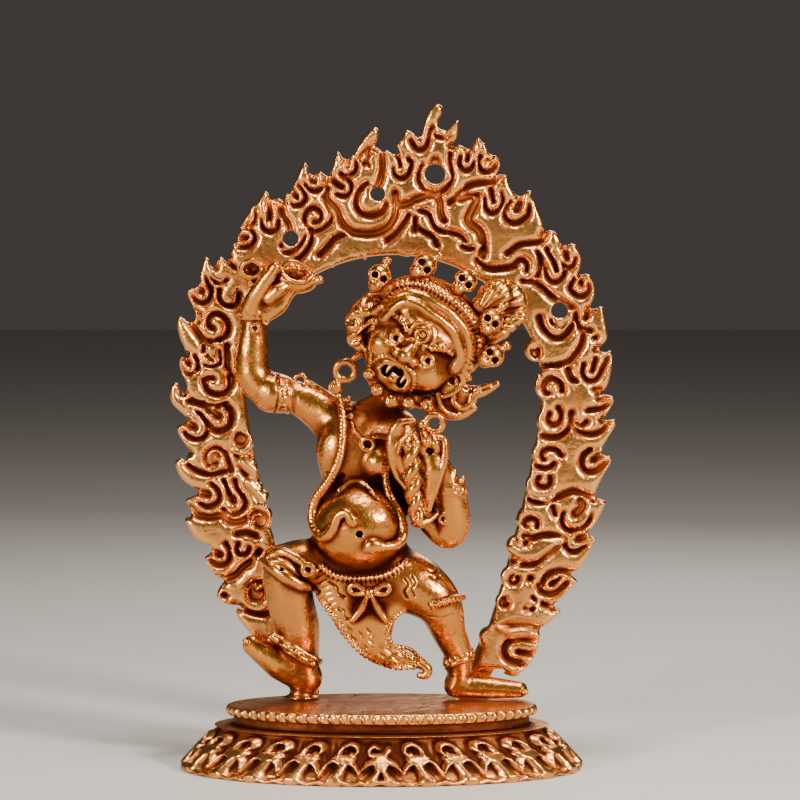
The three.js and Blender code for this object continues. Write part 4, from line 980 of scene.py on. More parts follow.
# Carved grooves between the leaves: half width, then the line
haloGrooves = [
    (0.28, "-24,65.7 -23.1,64.3 -23.2,62.9 -24.1,62.2 -25.1,62.6 -25.4,63.2"),
    (0.25, "-22.9,65.6 -22,64.9 -21,65.3"),
    (0.28, "-21.9,64.2 -22,63 -21.3,62.1 -20.2,61.8 -19.5,62.3 -19.3,63.5"),
    (0.30, "-24,57.3 -22.6,57 -21.2,57.7 -20.7,59 -21.3,60.3 -22.5,60.8 -23.4,60.2 -23.4,59.2 -22.8,58.8"),
    (0.40, "-26,59.8 -25.4,59 -24.7,58 -24.1,57.2"),
    (0.35, "-25.2,61.2 -24.6,60.6 -24.9,59.8"),
    (0.35, "-21.3,68.6 -20.6,67.6 -20,67"),
    (0.28, "-16.1,73.4 -15.9,72.3 -15,71.8 -14.1,72.2 -13.9,73.4"),
    (0.25, "-18.8,72.2 -17.6,72 -17.1,71 -17.8,69.9 -19.2,69.8"),
    (0.22, "-17.1,75 -17,73.9 -17.4,72.9 -18.7,72.3"),
    (0.40, "-13.9,76 -13.6,75 -13.2,73.8 -12.6,73 -12.3,72"),
    (0.25, "-10.5,71.2 -10.9,70.1 -12,69.2 -13,69 -13.6,70"),
    (0.30, "-9.5,71.8 -9.6,70.4 -10.4,69 -11.5,68"),
    (
        0.45,
        "-7.6,76.5 -6.9,75.6 -6.1,74.8 -5.4,73.2 -4.4,72.1 -3,71.6 "
        "-1,71.6 0.6,72.3 1.6,73.6 1.9,75 1.8,77",
    ),
    (0.35, "-7.6,76.5 -7.3,77.6 -7.4,79"),
    (0.35, "-2,78.2 -3,77.4 -3.5,76.1 -3.3,75 -2.5,74.2 -1.3,74 0,74.5 0.6,75.5"),
    (0.42, "0,82.3 0.1,80.5 -0.2,79 -0.6,78"),
    (0.30, "-0.9,83.6 -2,82.8 -2.8,81.9 -2.7,80.9"),
    (0.25, "-5.4,79.8 -4.6,79.5 -3.7,79.8 -3.4,80.6 -3.5,81.3"),
    (0.35, "-7.1,79.2 -6.2,78.4 -5.4,77.9"),
    (0.28, "-5.4,79.6 -4.6,78.9 -4.1,78.2 -4.2,77.2 -5,76.6 -6,76.9"),
    (0.28, "-10.3,78.2 -9.6,77.5 -8.8,77.3 -7.9,77.8"),
    (0.30, "-12.1,77.3 -11.6,76.7 -11.3,76.5"),
    (0.28, "-11.2,78.1 -10.5,77.2 -10.2,76.3 -10.9,75.5 -11.7,75.4 -12.2,75.9"),
    (0.30, "-10.4,73 -10.4,74 -9.8,74.9 -8.9,75 -8.2,74.4 -8.2,73.6 -8.6,73.2 -9.2,73.1"),
    (0.28, "-10.6,73 -10,72.3 -9,71.9 -7.9,72.3 -6.9,73.2 -6.7,74.3 -7.2,75.4 -7.6,76.4"),
    (0.35, "-5.2,71.4 -6.3,71 -7.2,69.9 -8.4,68.7"),
    (0.30, "4,84.2 4.5,83.2 5.2,82.8 5.9,83.2 6.3,84.2 6.5,85.3 6.8,85.9"),
    (0.20, "7.1,85 7.5,84.6 8.3,84.5 9.1,85 9.3,85.3"),
    (0.28, "1.7,80.3 1.9,79.5 2.8,79 3.6,79.6 4,80.7 4,81.3 3.6,81.6"),
    (0.28, "5.5,80.8 4.9,79.2 5.6,77.7 7.2,77 8.8,77.8 9.5,79.5 9.2,81.3 9.25,82.4"),
    (0.45, "2.2,75.4 3.2,75.5 4.5,76.1 5.9,76.6 7.2,76.8 7.9,75.9 7.9,74.7 8.4,73.4"),
    (0.28, "10.7,81.9 10.5,80.9 11.2,80.1 12,80.3 12.4,81.2"),
    (0.28, "13.3,82 13.2,81.1 13.5,80.1 14.4,79.9 15.2,80.5 15.4,80.9"),
    (0.35, "9.1,75.7 10.3,76.7 11.7,78 13.3,78.4 15.1,78.5 15.6,79"),
    (0.50, "10.6,76.3 12.4,76.8 12.8,76.1 12.1,74.7 11.6,73.6 12.1,72.8 13.2,72 13.6,70.7 13.6,68.6"),
    (0.28, "14,76.3 14.1,75 14.9,74.3 15.9,74.9 16.3,76.1 16,77"),
    (0.25, "5.05,74.7 6.3,74.3 6.8,73.2 7.5,72.2 8.6,71.8"),
    (0.30, "4.9,72.3 6.4,71.5 7.5,70.7"),
    (0.20, "9,71.8 10.6,71.3 11.3,70.5"),
    (0.25, "10.9,69.9 11.7,69.5 12.4,69.5"),
    (0.35, "3.6,74 3,73 1.8,71.5 0.45,70.5"),
    (0.35, "4.5,73.6 4.5,72"),
    (0.30, "17.4,75.8 16.6,74.7 16.8,73.6 17.9,73 19,73.4 19.8,74.3 19.8,75.5"),
    (0.30, "16.8,68.8 17.7,69.5 18.6,70.1 20,70.3 21.2,70.4 21.9,70.9"),
    (0.30, "17.7,67.3 18.7,68.1 19.6,67.6 19.6,66.6"),
    (0.35, "12.9,68 13.7,67.2 14.9,66.8 16.6,66.9 17.9,67.2"),
    (0.28, "24.3,67.7 25,67 25.8,67.3 26.1,68.2"),
    (0.28, "26,65.4 25.4,64.3 26.1,63.4 27,63.1 28,63.8 27.9,64.7"),
    (0.30, "22,67 22.4,65.7 23.3,65 24.3,65.5 24.8,66.6"),
    (0.35, "21.2,69.3 21.5,67.3 21,65.8"),
    (0.35, "19.1,65.3 20.5,65.1 21.9,64.2 22.9,63.2 24.2,62.4 25.4,61.8 25.9,61.2 26.3,59.9"),
    (0.35, "21.3,60.3 21.85,58.8 23.1,57.6 24.15,57.5 25,58.1 25.8,59.3"),
    (0.25, "22.8,59.85 23.3,58.9 24.4,58.6 25.2,59.6"),
    (0.35, "27.3,58.3 27.1,57.1 26.7,56.1 25.9,55 25.2,54.3 23.6,53.8 21.4,53.6 20.1,53.9"),
    (0.30, "26.4,59.85 26.7,59 27.7,58.6 28.2,58.5"),
    (0.30, "27.3,53.9 27.15,52.8 27.7,51.9 28.6,51.75 29.4,52.6 30.1,53.9 30.5,54.8"),
    (0.28, "28.8,50.6 29.7,50.5"),
    (0.40, "25.2,53.3 25.6,52.2 26.2,51.5"),
    (0.35, "24.4,50.4 24.3,51.2 23.6,51.9 22.7,52 22,51.3 22,50.5 22.5,49.9"),
    (0.35, "22.7,47.2 22.5,46.4 23.2,45.7 24,46.1 24.3,47.2 23.9,48"),
    (0.30, "27.9,47.7 29,47.85 30.1,48.2 30.8,48.7"),
    (0.30, "26.3,45.9 27.0,45.6 27.7,46.2"),
    (0.30, "25.5,47.2 25.8,45.7 26.6,44.9 28.2,44.45 29.7,44.9 30.5,45.9"),
    (0.35, "25.7,47.4 25.5,45.95 25,44.9 23.4,44.05 21.7,44.3"),
    (0.30, "24.3,41.6 23.75,42.3 22.7,42.5 21.85,42.2 21.65,41.5 22.1,40.8"),
    (0.35, "28.2,42.3 27.3,41.6 27.1,40.4 27.8,39.45 28.9,39.45 29.7,40 30.5,40.7"),
    (0.38, "29,35.9 28,36.1 27,36.5 25.9,36.75 24.8,36.35 23.6,35.8 22.3,35.4 20.9,35.3 20,35.7"),
    (0.30, "21.3,38.65 21,38 21.45,37.4 22.3,37.3 22.8,37.8 22.8,38.65"),
    (0.30, "20.9,40.3 21.7,39.9 22.8,40 23.3,40.5"),
    (0.35, "23.2,34.6 23.5,33.6"),
    (0.30, "21.05,31.9 21.05,32.7 20.4,33.05 19.55,32.8 19.3,32.15 19.7,31.5"),
    (0.35, "19.3,30.6 20.6,30.4 21.7,30.75 23.1,30.75 24.2,30.4 24.8,30"),
    (0.30, "18.1,30 17.9,29.5 18.6,29.05 19.3,29.3 19.7,30"),
    (0.42, "16.8,27.85 17.9,27.2 19.1,26.9 20.5,26.9 21.5,27.6 22.5,28.5 23.6,29.3 24.6,29.6 25,29.3"),
    (0.30, "24.6,33.65 24.4,32.6 25,31.6 26.2,31.35 27.3,31.75 28.1,32.8 28.2,33.65"),
    (0.30, "25.1,29.3 25.5,28.65 26.3,28.5 27,29 27.6,29.4"),
    (0.35, "25.8,25.7 24.6,25.95 23.1,25.7 22.1,25 21.7,24.05"),
    (0.35, "21.3,23.9 21.7,23.1 22.7,22.7 23.6,23 24.4,23.6 25,24.2"),
    (0.30, "20.6,22.3 21.7,21.5 22.8,21.1 23.5,20.95"),
    (0.30, "16.0,18.2 18.7,18.2 21.5,18.1"),
    (0.38, "20.6,16.6 19,16.75 17.8,16.6 17,16.1 16.6,15.3 17,14.05 18.1,13.5 19,13.25"),
    (0.30, "-25.3,55 -24.9,54.2 -25,53.2 -25.7,52.7 -26.4,52.8 -26.9,53.6"),
    (
        0.30,
        "-20.7,52.1 -20.5,51.1 -21.2,50.1 -22.3,49.85 -23.4,50.25 "
        "-23.9,51.1 -24.1,51.75 -23.5,52.1 -22.85,52",
    ),
    (0.25, "-24.1,56.6 -24.1,55.7"),
    (0.20, "-23.5,55.1 -22.9,54.6"),
    (0.22, "-23.8,53.8 -23,53.6 -22,53.9 -21.8,54.7 -21.9,55.7"),
    (0.38, "-20.95,56.5 -20.95,53.4 -20.4,52.15 -20.5,51.1"),
    (0.40, "-26,49 -24.9,48.8 -23.7,48.4 -22.3,48.3 -21.2,48.6"),
    (
        0.35,
        "-25.7,47.7 -24.6,47.15 -23.65,45.9 -22.85,45.1 -21.8,44.9 "
        "-20.7,45.5 -20.4,46.6 -20.5,47.8 -21.5,48.4",
    ),
    (0.28, "-26.6,44.7 -26,44.05 -25,43.8 -24.1,44.05 -23.5,45"),
    (0.30, "-21.2,41.75 -21.8,42.4 -22.7,42.6 -23.5,42 -23.8,41.1 -23.4,40.3"),
    (0.35, "-21.2,42 -20.7,40.65 -20.4,39.6"),
    (0.28, "-20.4,42.5 -19.6,41.6 -18.5,41.2 -17.4,41.75"),
    (0.25, "-19.3,40.1 -18.4,38.9 -17.6,37.3 -16.6,35.9 -15.6,34.6"),
    (0.30, "-19.9,38.2 -19.5,36.9 -18.65,35.8 -18.5,34.9 -19.2,33.9 -20.3,33.5 -21.2,33.8 -21.6,34.6"),
    (0.30, "-21.4,38.2 -21,37.2 -20.5,36.1"),
    (0.30, "-26.2,40.3 -25,39.5 -23.5,39.05 -21.8,39.3 -20.55,39.6"),
    (0.30, "-23,37.7 -22.2,36.9 -22,35.7 -22.7,34.9 -23.7,34.6 -24.6,35"),
    (0.42, "-25.8,34.5 -25,33.5 -23.25,33.2 -21.6,33.4 -20.5,32.6 -19.2,32.6 -18.4,33"),
    (0.25, "-18,32.8 -17.6,33.65 -16.75,33.9 -15.9,33.4 -15.8,32.6 -16.2,32 -17,31.9"),
    (0.30, "-19.5,29.6 -19.7,28.8 -19.2,28.1 -18.4,28.2 -18,29"),
    (0.30, "-21.1,29.6 -20.55,28.5 -20.7,27.4 -21.35,26.75 -22.4,26.75 -23.25,27.4"),
    (0.40, "-22.3,24.9 -21.1,24.9 -20,25.3 -19.2,26.1 -18.5,26.75 -17.2,27.6 -16.6,28.6"),
    (0.35, "-19.9,21.3 -18.5,20.6 -17,20.1 -15.7,20 -14.9,20.6"),
    (0.35, "-17.0,30.6 -18.4,31.1 -19.6,30.9"),
    (0.30, "-18.1,23.9 -17.4,24.3 -16.3,24.4 -15.6,24.0"),
]

# Sunk pools, wider than the grooves: half width, then the line
haloPools = [
    (0.35, "-15.1,76 -15.15,73.2"), (0.30, "-19.5,70.9 -18.2,71"), (0.35, "-24.9,64.3 -24.3,63.8"),
    (0.45, "-2,82.2 -2.2,81 -1.9,80.6"), (0.50, "-4.7,81.6 -4.7,80.8"), (0.50, "-9.3,79.6 -9.3,78.5"),
    (0.35, "4.9,84.9 5,84.3"), (0.35, "2,82.3 2.4,80.8"), (0.60, "7.2,81.3 7.2,80.3"),
    (0.35, "11.6,82.6 11.5,81.3"), (0.30, "14.4,81.9 14.3,81.2"), (0.30, "14.7,77.7 15.1,75.9"),
    (0.30, "7.2,70.4 7.5,70"), (0.40, "18.6,75.8 18.2,74.7"), (0.35, "24.8,69.5 25,68.2"),
    (0.35, "27,65.7 26.9,64.5"), (0.30, "22.3,69.5 23.2,68 23.6,66.6"), (0.35, "27.9,61.4 27.6,60.2"),
    (0.60, "20.8,55.8 20.9,55.4"), (0.28, "28.9,57.6 28.8,57.5"), (0.30, "28.5,53 28.9,54.7"),
    (0.32, "29.4,49.3 30.5,49.9"), (0.35, "28.6,40.95 30,41.8"), (0.50, "26.2,33.6 27.2,34.6 27.0,35.4"),
    (0.40, "26.6,30.2 28.2,30.8"), (0.40, "22.9,24.2 24.0,24.9"), (0.35, "18.5,14.9 20.4,14.6"),
    (0.40, "-26.2,54.1 -26.7,54.9"), (0.45, "-23.3,47.9 -22.1,46.9"), (0.45, "-25.5,45.5 -27.2,46.5"),
    (0.85, "-22.7,41.1 -22.6,41.3"), (0.85, "-19.1,43.8 -19.1,43.9"), (0.45, "-20.1,35.4 -20.2,35.7"),
    (0.45, "-24.8,36.6 -23.5,36.3"), (0.80, "-16.75,32.7 -16.7,32.7"), (0.45, "-23.5,28.7 -22,28.1"),
    (0.45, "-21.3,22.7 -21.2,22.8"), (1.10, "-17,22.8 -17,23"), (0.70, "16.6,21.6 16.7,21.6"),
    (0.75, "17.9,24.7 18,24.7"), (0.70, "20,20.5 20,20.6"), (0.38, "20.1,24.85 20.2,24.9"),
]

# Notches between the tips, sunk to the plate behind
haloNotches = (
    "-25.1,64.2 -22.6,67.3 -20.9,68.6 -14.4,76.1 -13.4,76.0 -9.4,79.5 -7.3,79.5 -4.7,81.7 -0.7,83.0 "
    "2.0,82.3 4.9,84.9 9.6,83.4 11.7,83.0 14.7,82.2 15.7,79.3 18.5,76.5 21.9,71.5 24.7,69.9 26.9,66.0 "
    "28.4,61.4 29.3,56.0 29.6,50.1 30.1,46.5 29.4,42.0 28.9,35.8 28.1,30.9 25.8,25.5 23.4,21.0 21.3,17.4 "
    "-26.8,50.1 -26.5,46.2 -26.3,42.0 -25.1,36.5 -26.0,33.7 -23.4,28.8 -21.7,24.4 -26.3,55.2 -25.5,60.3 "
    "-19.2,20.9"
)

# Small balls in the curls: x, z, radius
haloBalls = [
    (-22, 59.5, 0.5), (-15.1, 73, 0.3), (-22.4, 66.2, 0.3), (-20.5, 63.2, 0.3), (-9.6, 73.8, 0.5),
    (-2, 80.5, 0.35), (-4.8, 80.8, 0.35), (5, 84.6, 0.35), (14.4, 81.1, 0.3), (3.7, 69.3, 0.5),
    (-4.5, 68.7, 0.5), (18.8, 66.8, 0.5), (26.7, 64.4, 0.3), (20.7, 56.4, 0.5), (28.6, 58, 0.35),
    (22.8, 50.6, 0.45), (23.4, 47.5, 0.45), (26.2, 49.7, 0.75), (26.9, 46.5, 0.4), (22.8, 41.15, 0.42),
    (22.2, 38.4, 0.4), (20.4, 32.15, 0.42), (18.75, 30.1, 0.5), (17.3, 21.9, 0.45), (19.95, 21.2, 0.55),
    (17.9, 24.7, 0.4), (-24.9, 49.8, 0.55), (-23.1, 51.5, 0.45), (-22, 41, 0.4), (-19.5, 42.8, 0.4),
    (-18, 42.7, 0.35), (-4.1, 68.4, 0.45), (-1.1, 68.9, 0.4), (-17.4, 32.6, 0.4), (-18.8, 29.6, 0.4),
    (-16.6, 23.6, 0.4), (-12.0, 75.0, 0.2),
]

# Curls that swell past the inner edge: x, z, radius
haloBosses = [
    (20.9, 55.9, 1.6), (22.7, 51.0, 2.0), (22.9, 46.2, 1.95), (22.1, 41.8, 1.8), (21.6, 37.5, 1.9),
    (20.2, 32.9, 1.9), (18.4, 29.2, 1.5), (17.7, 24.9, 1.6), (16.8, 21.5, 1.4), (-19.1, 43.3, 1.75),
    (-17.9, 39.9, 1.1), (-17.0, 37.2, 0.9), (-16.2, 36.0, 0.9), (-16.6, 33.3, 1.75), (-18.8, 29.0, 1.5),
    (-17.0, 22.6, 1.9), (-4.5, 69.3, 1.2), (0.6, 69.6, 0.9), (3.1, 69.7, 1.1), (18.8, 67.0, 1.4),
    (7.6, 69.9, 0.8), (11.9, 69.2, 0.8), (14.5, 16.8, 1.3), (-13.9, 18.6, 1.1), (17.6, 13.0, 1.2),
    (-14.4, 15.4, 1.6),
]

# Round holes: x, z, radius
haloHoles = [(-12.3, 70.9, 1.05), (-0.55, 76.9, 0.95), (7.2, 79.6, 1.35), (24.0, 61.2, 1.08)]

# The two tangs that stand on the plate: x and half width
haloTangs = [(-10.2, 1.7), (11.8, 1.7)]


def archAway(drawing):
    # above 0 in the opening that the band surrounds
    side = np.abs(drawing.x - halo["axis"])
    drop = np.maximum(halo["widestHeight"] - drawing.z, 0)
    low = halo["innerHalfWidth"] - halo["taper"] * drop ** halo["taperPower"] - side
    rise = np.maximum(drawing.z - halo["widestHeight"], 0) / halo["innerRise"]
    high = (1 - np.hypot(side / halo["innerHalfWidth"], rise)) * halo["innerRise"]
    return np.where(drawing.z < halo["widestHeight"], low, high)


def makeHaloRelief():
    drawing = Relief(*halo["drawing"])
    leaves = np.maximum(drawing.closed(path(haloEdge)), archAway(drawing)).astype(np.float32)
    for x, z, radius in haloBosses:
        drawing.dot(leaves, (x, z), radius)
    walls = drawing.empty()
    for line in haloWalls:
        drawing.stroke(walls, path(line), halo["wallWidth"])
    over = drawing.empty()
    for widths, line in haloLeaves:
        drawing.stroke(over, path(line), widths)
    grooves = drawing.empty()
    for widths, line in haloGrooves + haloPools:
        drawing.stroke(grooves, path(line), widths)
    for x, z in path(haloNotches):
        drawing.dot(grooves, (x, z), halo["notchRadius"])
    grooves = np.maximum(grooves, -over + halo["leafMargin"])
    holes = drawing.empty()
    for x, z, radius in haloHoles:
        drawing.dot(holes, (x, z), radius)
    carved = grooves + halo["grooveTrim"]
    inside = np.maximum(-np.maximum(leaves - halo["edgeRounding"], -carved), 0)
    rise = np.sqrt(1 - (1 - np.clip(inside / halo["rimWidth"], 0, 1)) ** 2)
    height = rise * halo["rise"]
    offWall = np.maximum(walls + halo["wallWidth"], 0) / halo["wallSlope"]
    wallRise = np.sqrt(np.clip(1 - offWall ** 2, 0, 1))
    height = np.maximum(height, wallRise * halo["rise"])
    overRise = np.sqrt(1 - (1 - np.clip(-over / halo["leafWidth"], 0, 1)) ** 2)
    height = np.maximum(height, overRise * (halo["rise"] + halo["leafRise"]))
    for x, z, radius in haloBalls:
        ball = np.sqrt(np.clip(radius ** 2 - (drawing.x - x) ** 2 - (drawing.z - z) ** 2, 0, None))
        height = np.where(ball > 0, np.maximum(height, halo["ballLift"] + ball), height)
    height = blurred(height.astype(np.float32), halo["softening"], drawing.step)
    outline = np.minimum(leaves, np.maximum(walls, leaves - halo["wallOverhang"]))
    for x, half in haloTangs:
        tip = halo["axis"] + math.copysign(halo["tangReach"], x)
        line = [(x, halo["tangFoot"]), (tip, halo["footHeight"] + halo["tangRise"])]
        drawing.stroke(outline, line, half)
    outline = np.maximum(outline, -holes)
    return drawing, outline, height


def clayRound(node, step):
    # clay in the CAD node's box with some room round it, and the height of the box's foot
    low, high = [np.array(corner) / millimetre for corner in node]
    clay = Clay(low - formRoom, high + formRoom, step * coarser)
    return clay, low[2]


def buildHalo():
    clay, footHeight = clayRound(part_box("flame_aureole"), halo["step"])
    drawing, outline, height = makeHaloRelief()
    x, z = np.meshgrid(clay.axes[0], clay.axes[2], indexing="ij")
    edge = drawing.read(outline, x, z)[:, None, :]
    rise = drawing.read(height, x, z)[:, None, :]
    y = clay.axes[1][None, :, None]
    front = halo["recess"] - rise
    body = np.maximum(front - y, y - halo["back"])
    body = smoothMax(np.maximum(edge, -far), body, halo["edgeBlend"])
    foot = footHeight - clay.axes[2][None, None, :]
    clay.field = np.clip(np.maximum(body, foot), -far, far).astype(np.float32)
    return clay


# Figure

figure = {
    "headTilt": 36.0,
    "headCentre": (4.1, -1.0, 56.9),
    "skullRing": 9.9,
    "skullAngles": [158, 122, 88, 51, 24],  # round the head's middle, in degrees
    "skullLeans": [58, 52, 8, -38, -46],
    "step": 0.13,
    "mostFaces": 195000,
}

# The middles of the joints. Right and left are the figure's own.
pose = {
    "rightShoulder": (-5.2, 2.8, 45.6),
    "rightElbow": (-17.3, 3.2, 52.8),
    "rightWrist": (-17.1, 2.8, 60.4),
    "leftShoulder": (2.0, 2.6, 45.0),
    "leftElbow": (8.8, -0.8, 31.9),
    "leftWrist": (8.9, -3.2, 37.8),
    "leftHand": (6.4, -4.6, 43.0),
    "rightHip": (-3.2, 2.6, 26.6),
    "rightKnee": (-12.6, 1.2, 26.8),
    "rightAnkle": (-10.7, 4.0, 12.0),
    "leftHip": (0.6, 2.6, 26.0),
    "leftKnee": (7.6, 0.8, 22.0),
    "leftAnkle": (10.4, 3.8, 11.4),
}


def inHead(right, up, forward=0.0):
    # a place given as right, up and forward of the middle of the tilted head
    tilt = math.radians(figure["headTilt"])
    x, y, z = figure["headCentre"]
    return (
        x + right * math.cos(tilt) + up * math.sin(tilt),
        y - forward,
        z - right * math.sin(tilt) + up * math.cos(tilt),
    )


def onHead(text):
    # "right,up right,up" as places in x and z
    return np.array([inHead(right, up)[::2] for right, up in path(text)])


def headEgg(clay, right, up, forward, radii, blend=0.5, cut=False):
    # radii across, deep and upward
    clay.egg(inHead(right, up, forward), radii, blend, math.radians(figure["headTilt"]), cut)


def headLimb(clay, text, widths, blend=0.3, **options):
    clay.limb([inHead(*point) for point in path(text)], widths, blend, **options)


def spiral(centre, radius, turns, start):
    # a flat spiral that starts outside at an angle in degrees and winds inward
    inner = 0.15
    share = np.linspace(0, 1, max(6, int(turns * 10)))
    angle = math.radians(start) + share * turns * 2 * math.pi
    reach = radius * (1 - share * (1 - inner))
    return np.column_stack([centre[0] + reach * np.cos(angle), centre[1] + reach * np.sin(angle)])


def sculptTorso(clay):
    clay.limb(
        path("-1.7,2.8,24.2 -2.9,1.4,31.5 -2.7,1.9,38.0 -2.7,2.2,42.6 -1.7,2.4,46.6"),
        [5.4, 6.2, 5.3, 5.9, 2.9], 0.8, flat=0.74,
    )
    clay.egg((-3.0, -0.9, 32.6), (6.3, 5.1, 5.6), 1.2)
    clay.egg((-5.5, -0.3, 42.6), (2.9, 1.8, 3.4), 2.0)
    clay.egg((-0.4, -1.5, 41.2), (1.9, 1.7, 1.9), 0.9)
    clay.limb([(-1.2, 2.9, 45.0), (0.6, 3.1, 48.6), (2.8, 3.2, 52.4)], [3.0, 2.2, 2.3], 1.4)
    clay.egg((-2.9, -6.2, 32.0), (0.5, 1.2, 0.5), 0.15, cut=True)
    clay.ridge(path("-5.6,37.6 -4.2,38.6 -2.6,38.6 -1.1,37.3"), 0.32, -0.1)
    clay.groove(path("-5.8,37.0 -4.2,38.0 -2.6,38.0 -0.7,36.6"), 0.28, 0.05)
    clay.groove(path("-7.2,39.6 -6.2,39.2 -5.2,39.5"), 0.25, 0.1, 0.4)


def sculptRightArm(clay):
    clay.limb(
        [pose["rightShoulder"], (-8.2, 3, 47.9), (-11.4, 3, 49.6), (-15.0, 3, 50.4), pose["rightElbow"],
         (-17.4, 3, 56.4), pose["rightWrist"]],
        [3.5, 2.8, 2.2, 2.35, 2.45, 2.2, 1.7], 1.0,
    )
    # armlet: a flared cuff, a dotted band and a narrow edge, then a loop with its ribbon
    clay.limb([(-14.7, 3, 50.3), (-13.6, 3, 50.1)], [2.75, 2.6], 0.15)
    clay.ring((-13.1, 3, 50.0), (0.98, 0, 0.2), 2.25, 0.42, 0.05)
    clay.ring((-12.4, 3, 49.85), (0.98, 0, 0.2), 2.2, 0.3, 0.05)
    clay.groove(path("-14.0,52.9 -13.8,51.6 -13.7,50.2 -14.0,48.6 -14.4,47.6"), 0.22, 0.02)
    for z in np.arange(48.4, 52.2, 0.55):
        clay.groove([(-13.3, z), (-12.8, z - 0.1)], 0.16, 0.02)
    clay.ring((-10.9, 1.9, 52.0), (0.1, 1, 0.1), 0.75, 0.3, 0.1)
    ribbon = path("-12.4,2.0,51.9 -11.6,2.0,51.2 -10.4,1.9,51.2 -9.8,2.0,51.7 -8.6,2.1,51.0 -7.2,2.3,50.0")
    clay.limb(ribbon, 0.35, 0.2)
    # bracelet: a row of beads between two cords, with a ring below
    clay.ring((-17.4, 2.8, 60.2), (0.05, 0.1, 1), 1.75, 0.3, 0.1)
    clay.ring((-17.3, 2.8, 61.4), (0.05, 0.1, 1), 1.7, 0.3, 0.1)
    clay.beadRing((-17.35, 2.8, 60.8), (0.05, 0.1, 1), 1.85, 0.45, 13)
    clay.ring((-16.9, 0.75, 59.0), (0, 1, 0.15), 0.55, 0.25, 0.1)
    clay.ring((-15.5, 1.3, 59.9), (0.3, 1, 0.1), 0.35, 0.2, 0.1)
    clay.egg((-16.6, 0.6, 55.8), (0.22, 0.5, 0.22), 0.05, cut=True)


def sculptRaisedHand(clay):
    clay.egg((-15.9, 2.4, 63.0), (2.2, 1.6, 2.7), 0.6, 0.4)
    clay.egg((-13.6, 2.0, 64.0), (2.3, 1.5, 1.5), 0.6, -0.1)
    clay.limb(path("-15.4,1.8,61.0 -13.7,1.6,62.1 -12.2,1.5,64.0"), [1.2, 1.15, 0.7], 0.3, flat=0.75)
    clay.groove(path("-15.4,62.4 -13.9,63.0 -12.8,64.2"), 0.2, 0.0)
    # thunderbolt: a hollow bulb at one end, an open cup with its rim and a ball at the other
    clay.egg((-17.2, 2.0, 66.7), (2.0, 1.6, 1.6), 0.3)
    clay.egg((-17.4, 0.6, 67.0), (1.15, 1.3, 0.95), 0.15, cut=True)
    clay.limb(path("-18.9,1.2,66.2 -18.5,0.8,67.5 -17.3,0.7,68.1 -16.2,0.8,67.5"), 0.34, 0.1)
    clay.egg((-11.6, 1.9, 65.4), (3.0, 1.6, 1.75), 0.4, 0.12)
    clay.limb(path("-10.8,1.9,64.9 -9.6,1.6,65.3 -8.4,1.3,65.4"), [1.2, 0.7, 0.45], 0.25)
    clay.egg((-11.5, 0.5, 66.5), (1.6, 1.5, 1.0), 0.15, 0.15, cut=True)
    cupRim = path(
        "-13.3,0.9,66.4 -12.9,1.0,67.6 -11.6,1.2,67.9 -9.9,1.1,66.9 "
        "-9.3,0.8,66.1 -10.4,0.3,65.2 -12.0,0.2,65.4 -13.3,0.9,66.4"
    )
    clay.limb(cupRim, 0.3, 0.1)
    clay.limb(path("-11.4,1.3,67.6 -11.0,0.8,66.9"), 0.25, 0.1)
    clay.egg((-8.1, 2.3, 66.7), (1.05, 0.5, 0.95), 0.2)
    clay.egg((-8.3, 1.3, 65.5), (0.6, 0.6, 0.6), 0.1)
    clay.egg((-17.6, 1.0, 65.0), (0.4, 0.4, 0.4), 0.1)
    # the first finger stands free, the others close round the grip
    clay.limb(path("-17.6,1.7,61.8 -16.8,1.0,63.4 -15.5,0.4,65.3 -14.2,0.2,67.2"), [1.35, 1.2, 1.0, 0.8], 0.4)
    clay.limb(path("-15.0,0.9,63.0 -13.8,0.6,64.1 -12.7,1.0,64.7"), [0.9, 0.95, 0.75], 0.35)


def sculptLeftArm(clay):
    clay.limb(
        [pose["leftShoulder"], (3.4, 1.8, 40.8), (5.8, 0.4, 35.4), pose["leftElbow"], (9.5, -2.0, 34.0),
         pose["leftWrist"], pose["leftHand"]],
        [3.1, 2.6, 2.5, 2.35, 2.3, 1.9, 1.6], 0.9,
    )
    clay.ring((9.1, -2.9, 36.9), (0.1, 0.25, 1), 2.05, 0.3, 0.08)
    clay.beadRing((9.1, -3.0, 37.5), (0.1, 0.25, 1), 2.1, 0.38, 17)
    clay.ring((9.0, -3.1, 38.1), (0.1, 0.25, 1), 2.0, 0.3, 0.08)
    for foot, tip in [((9.0, -4.9, 38.2), (9.7, -4.6, 40.4)), ((10.3, -4.2, 38.0), (10.9, -3.6, 39.4))]:
        clay.limb([foot, tip], [0.75, 0.25], 0.15, flat=0.6)
    clay.ring((8.3, -4.0, 33.9), (-0.2, 1, 0.1), 0.62, 0.24, 0.1)
    clay.ridge(path("7.0,34.2 7.5,34.9 7.2,35.6 7.6,36.3"), 0.28, 0.0)


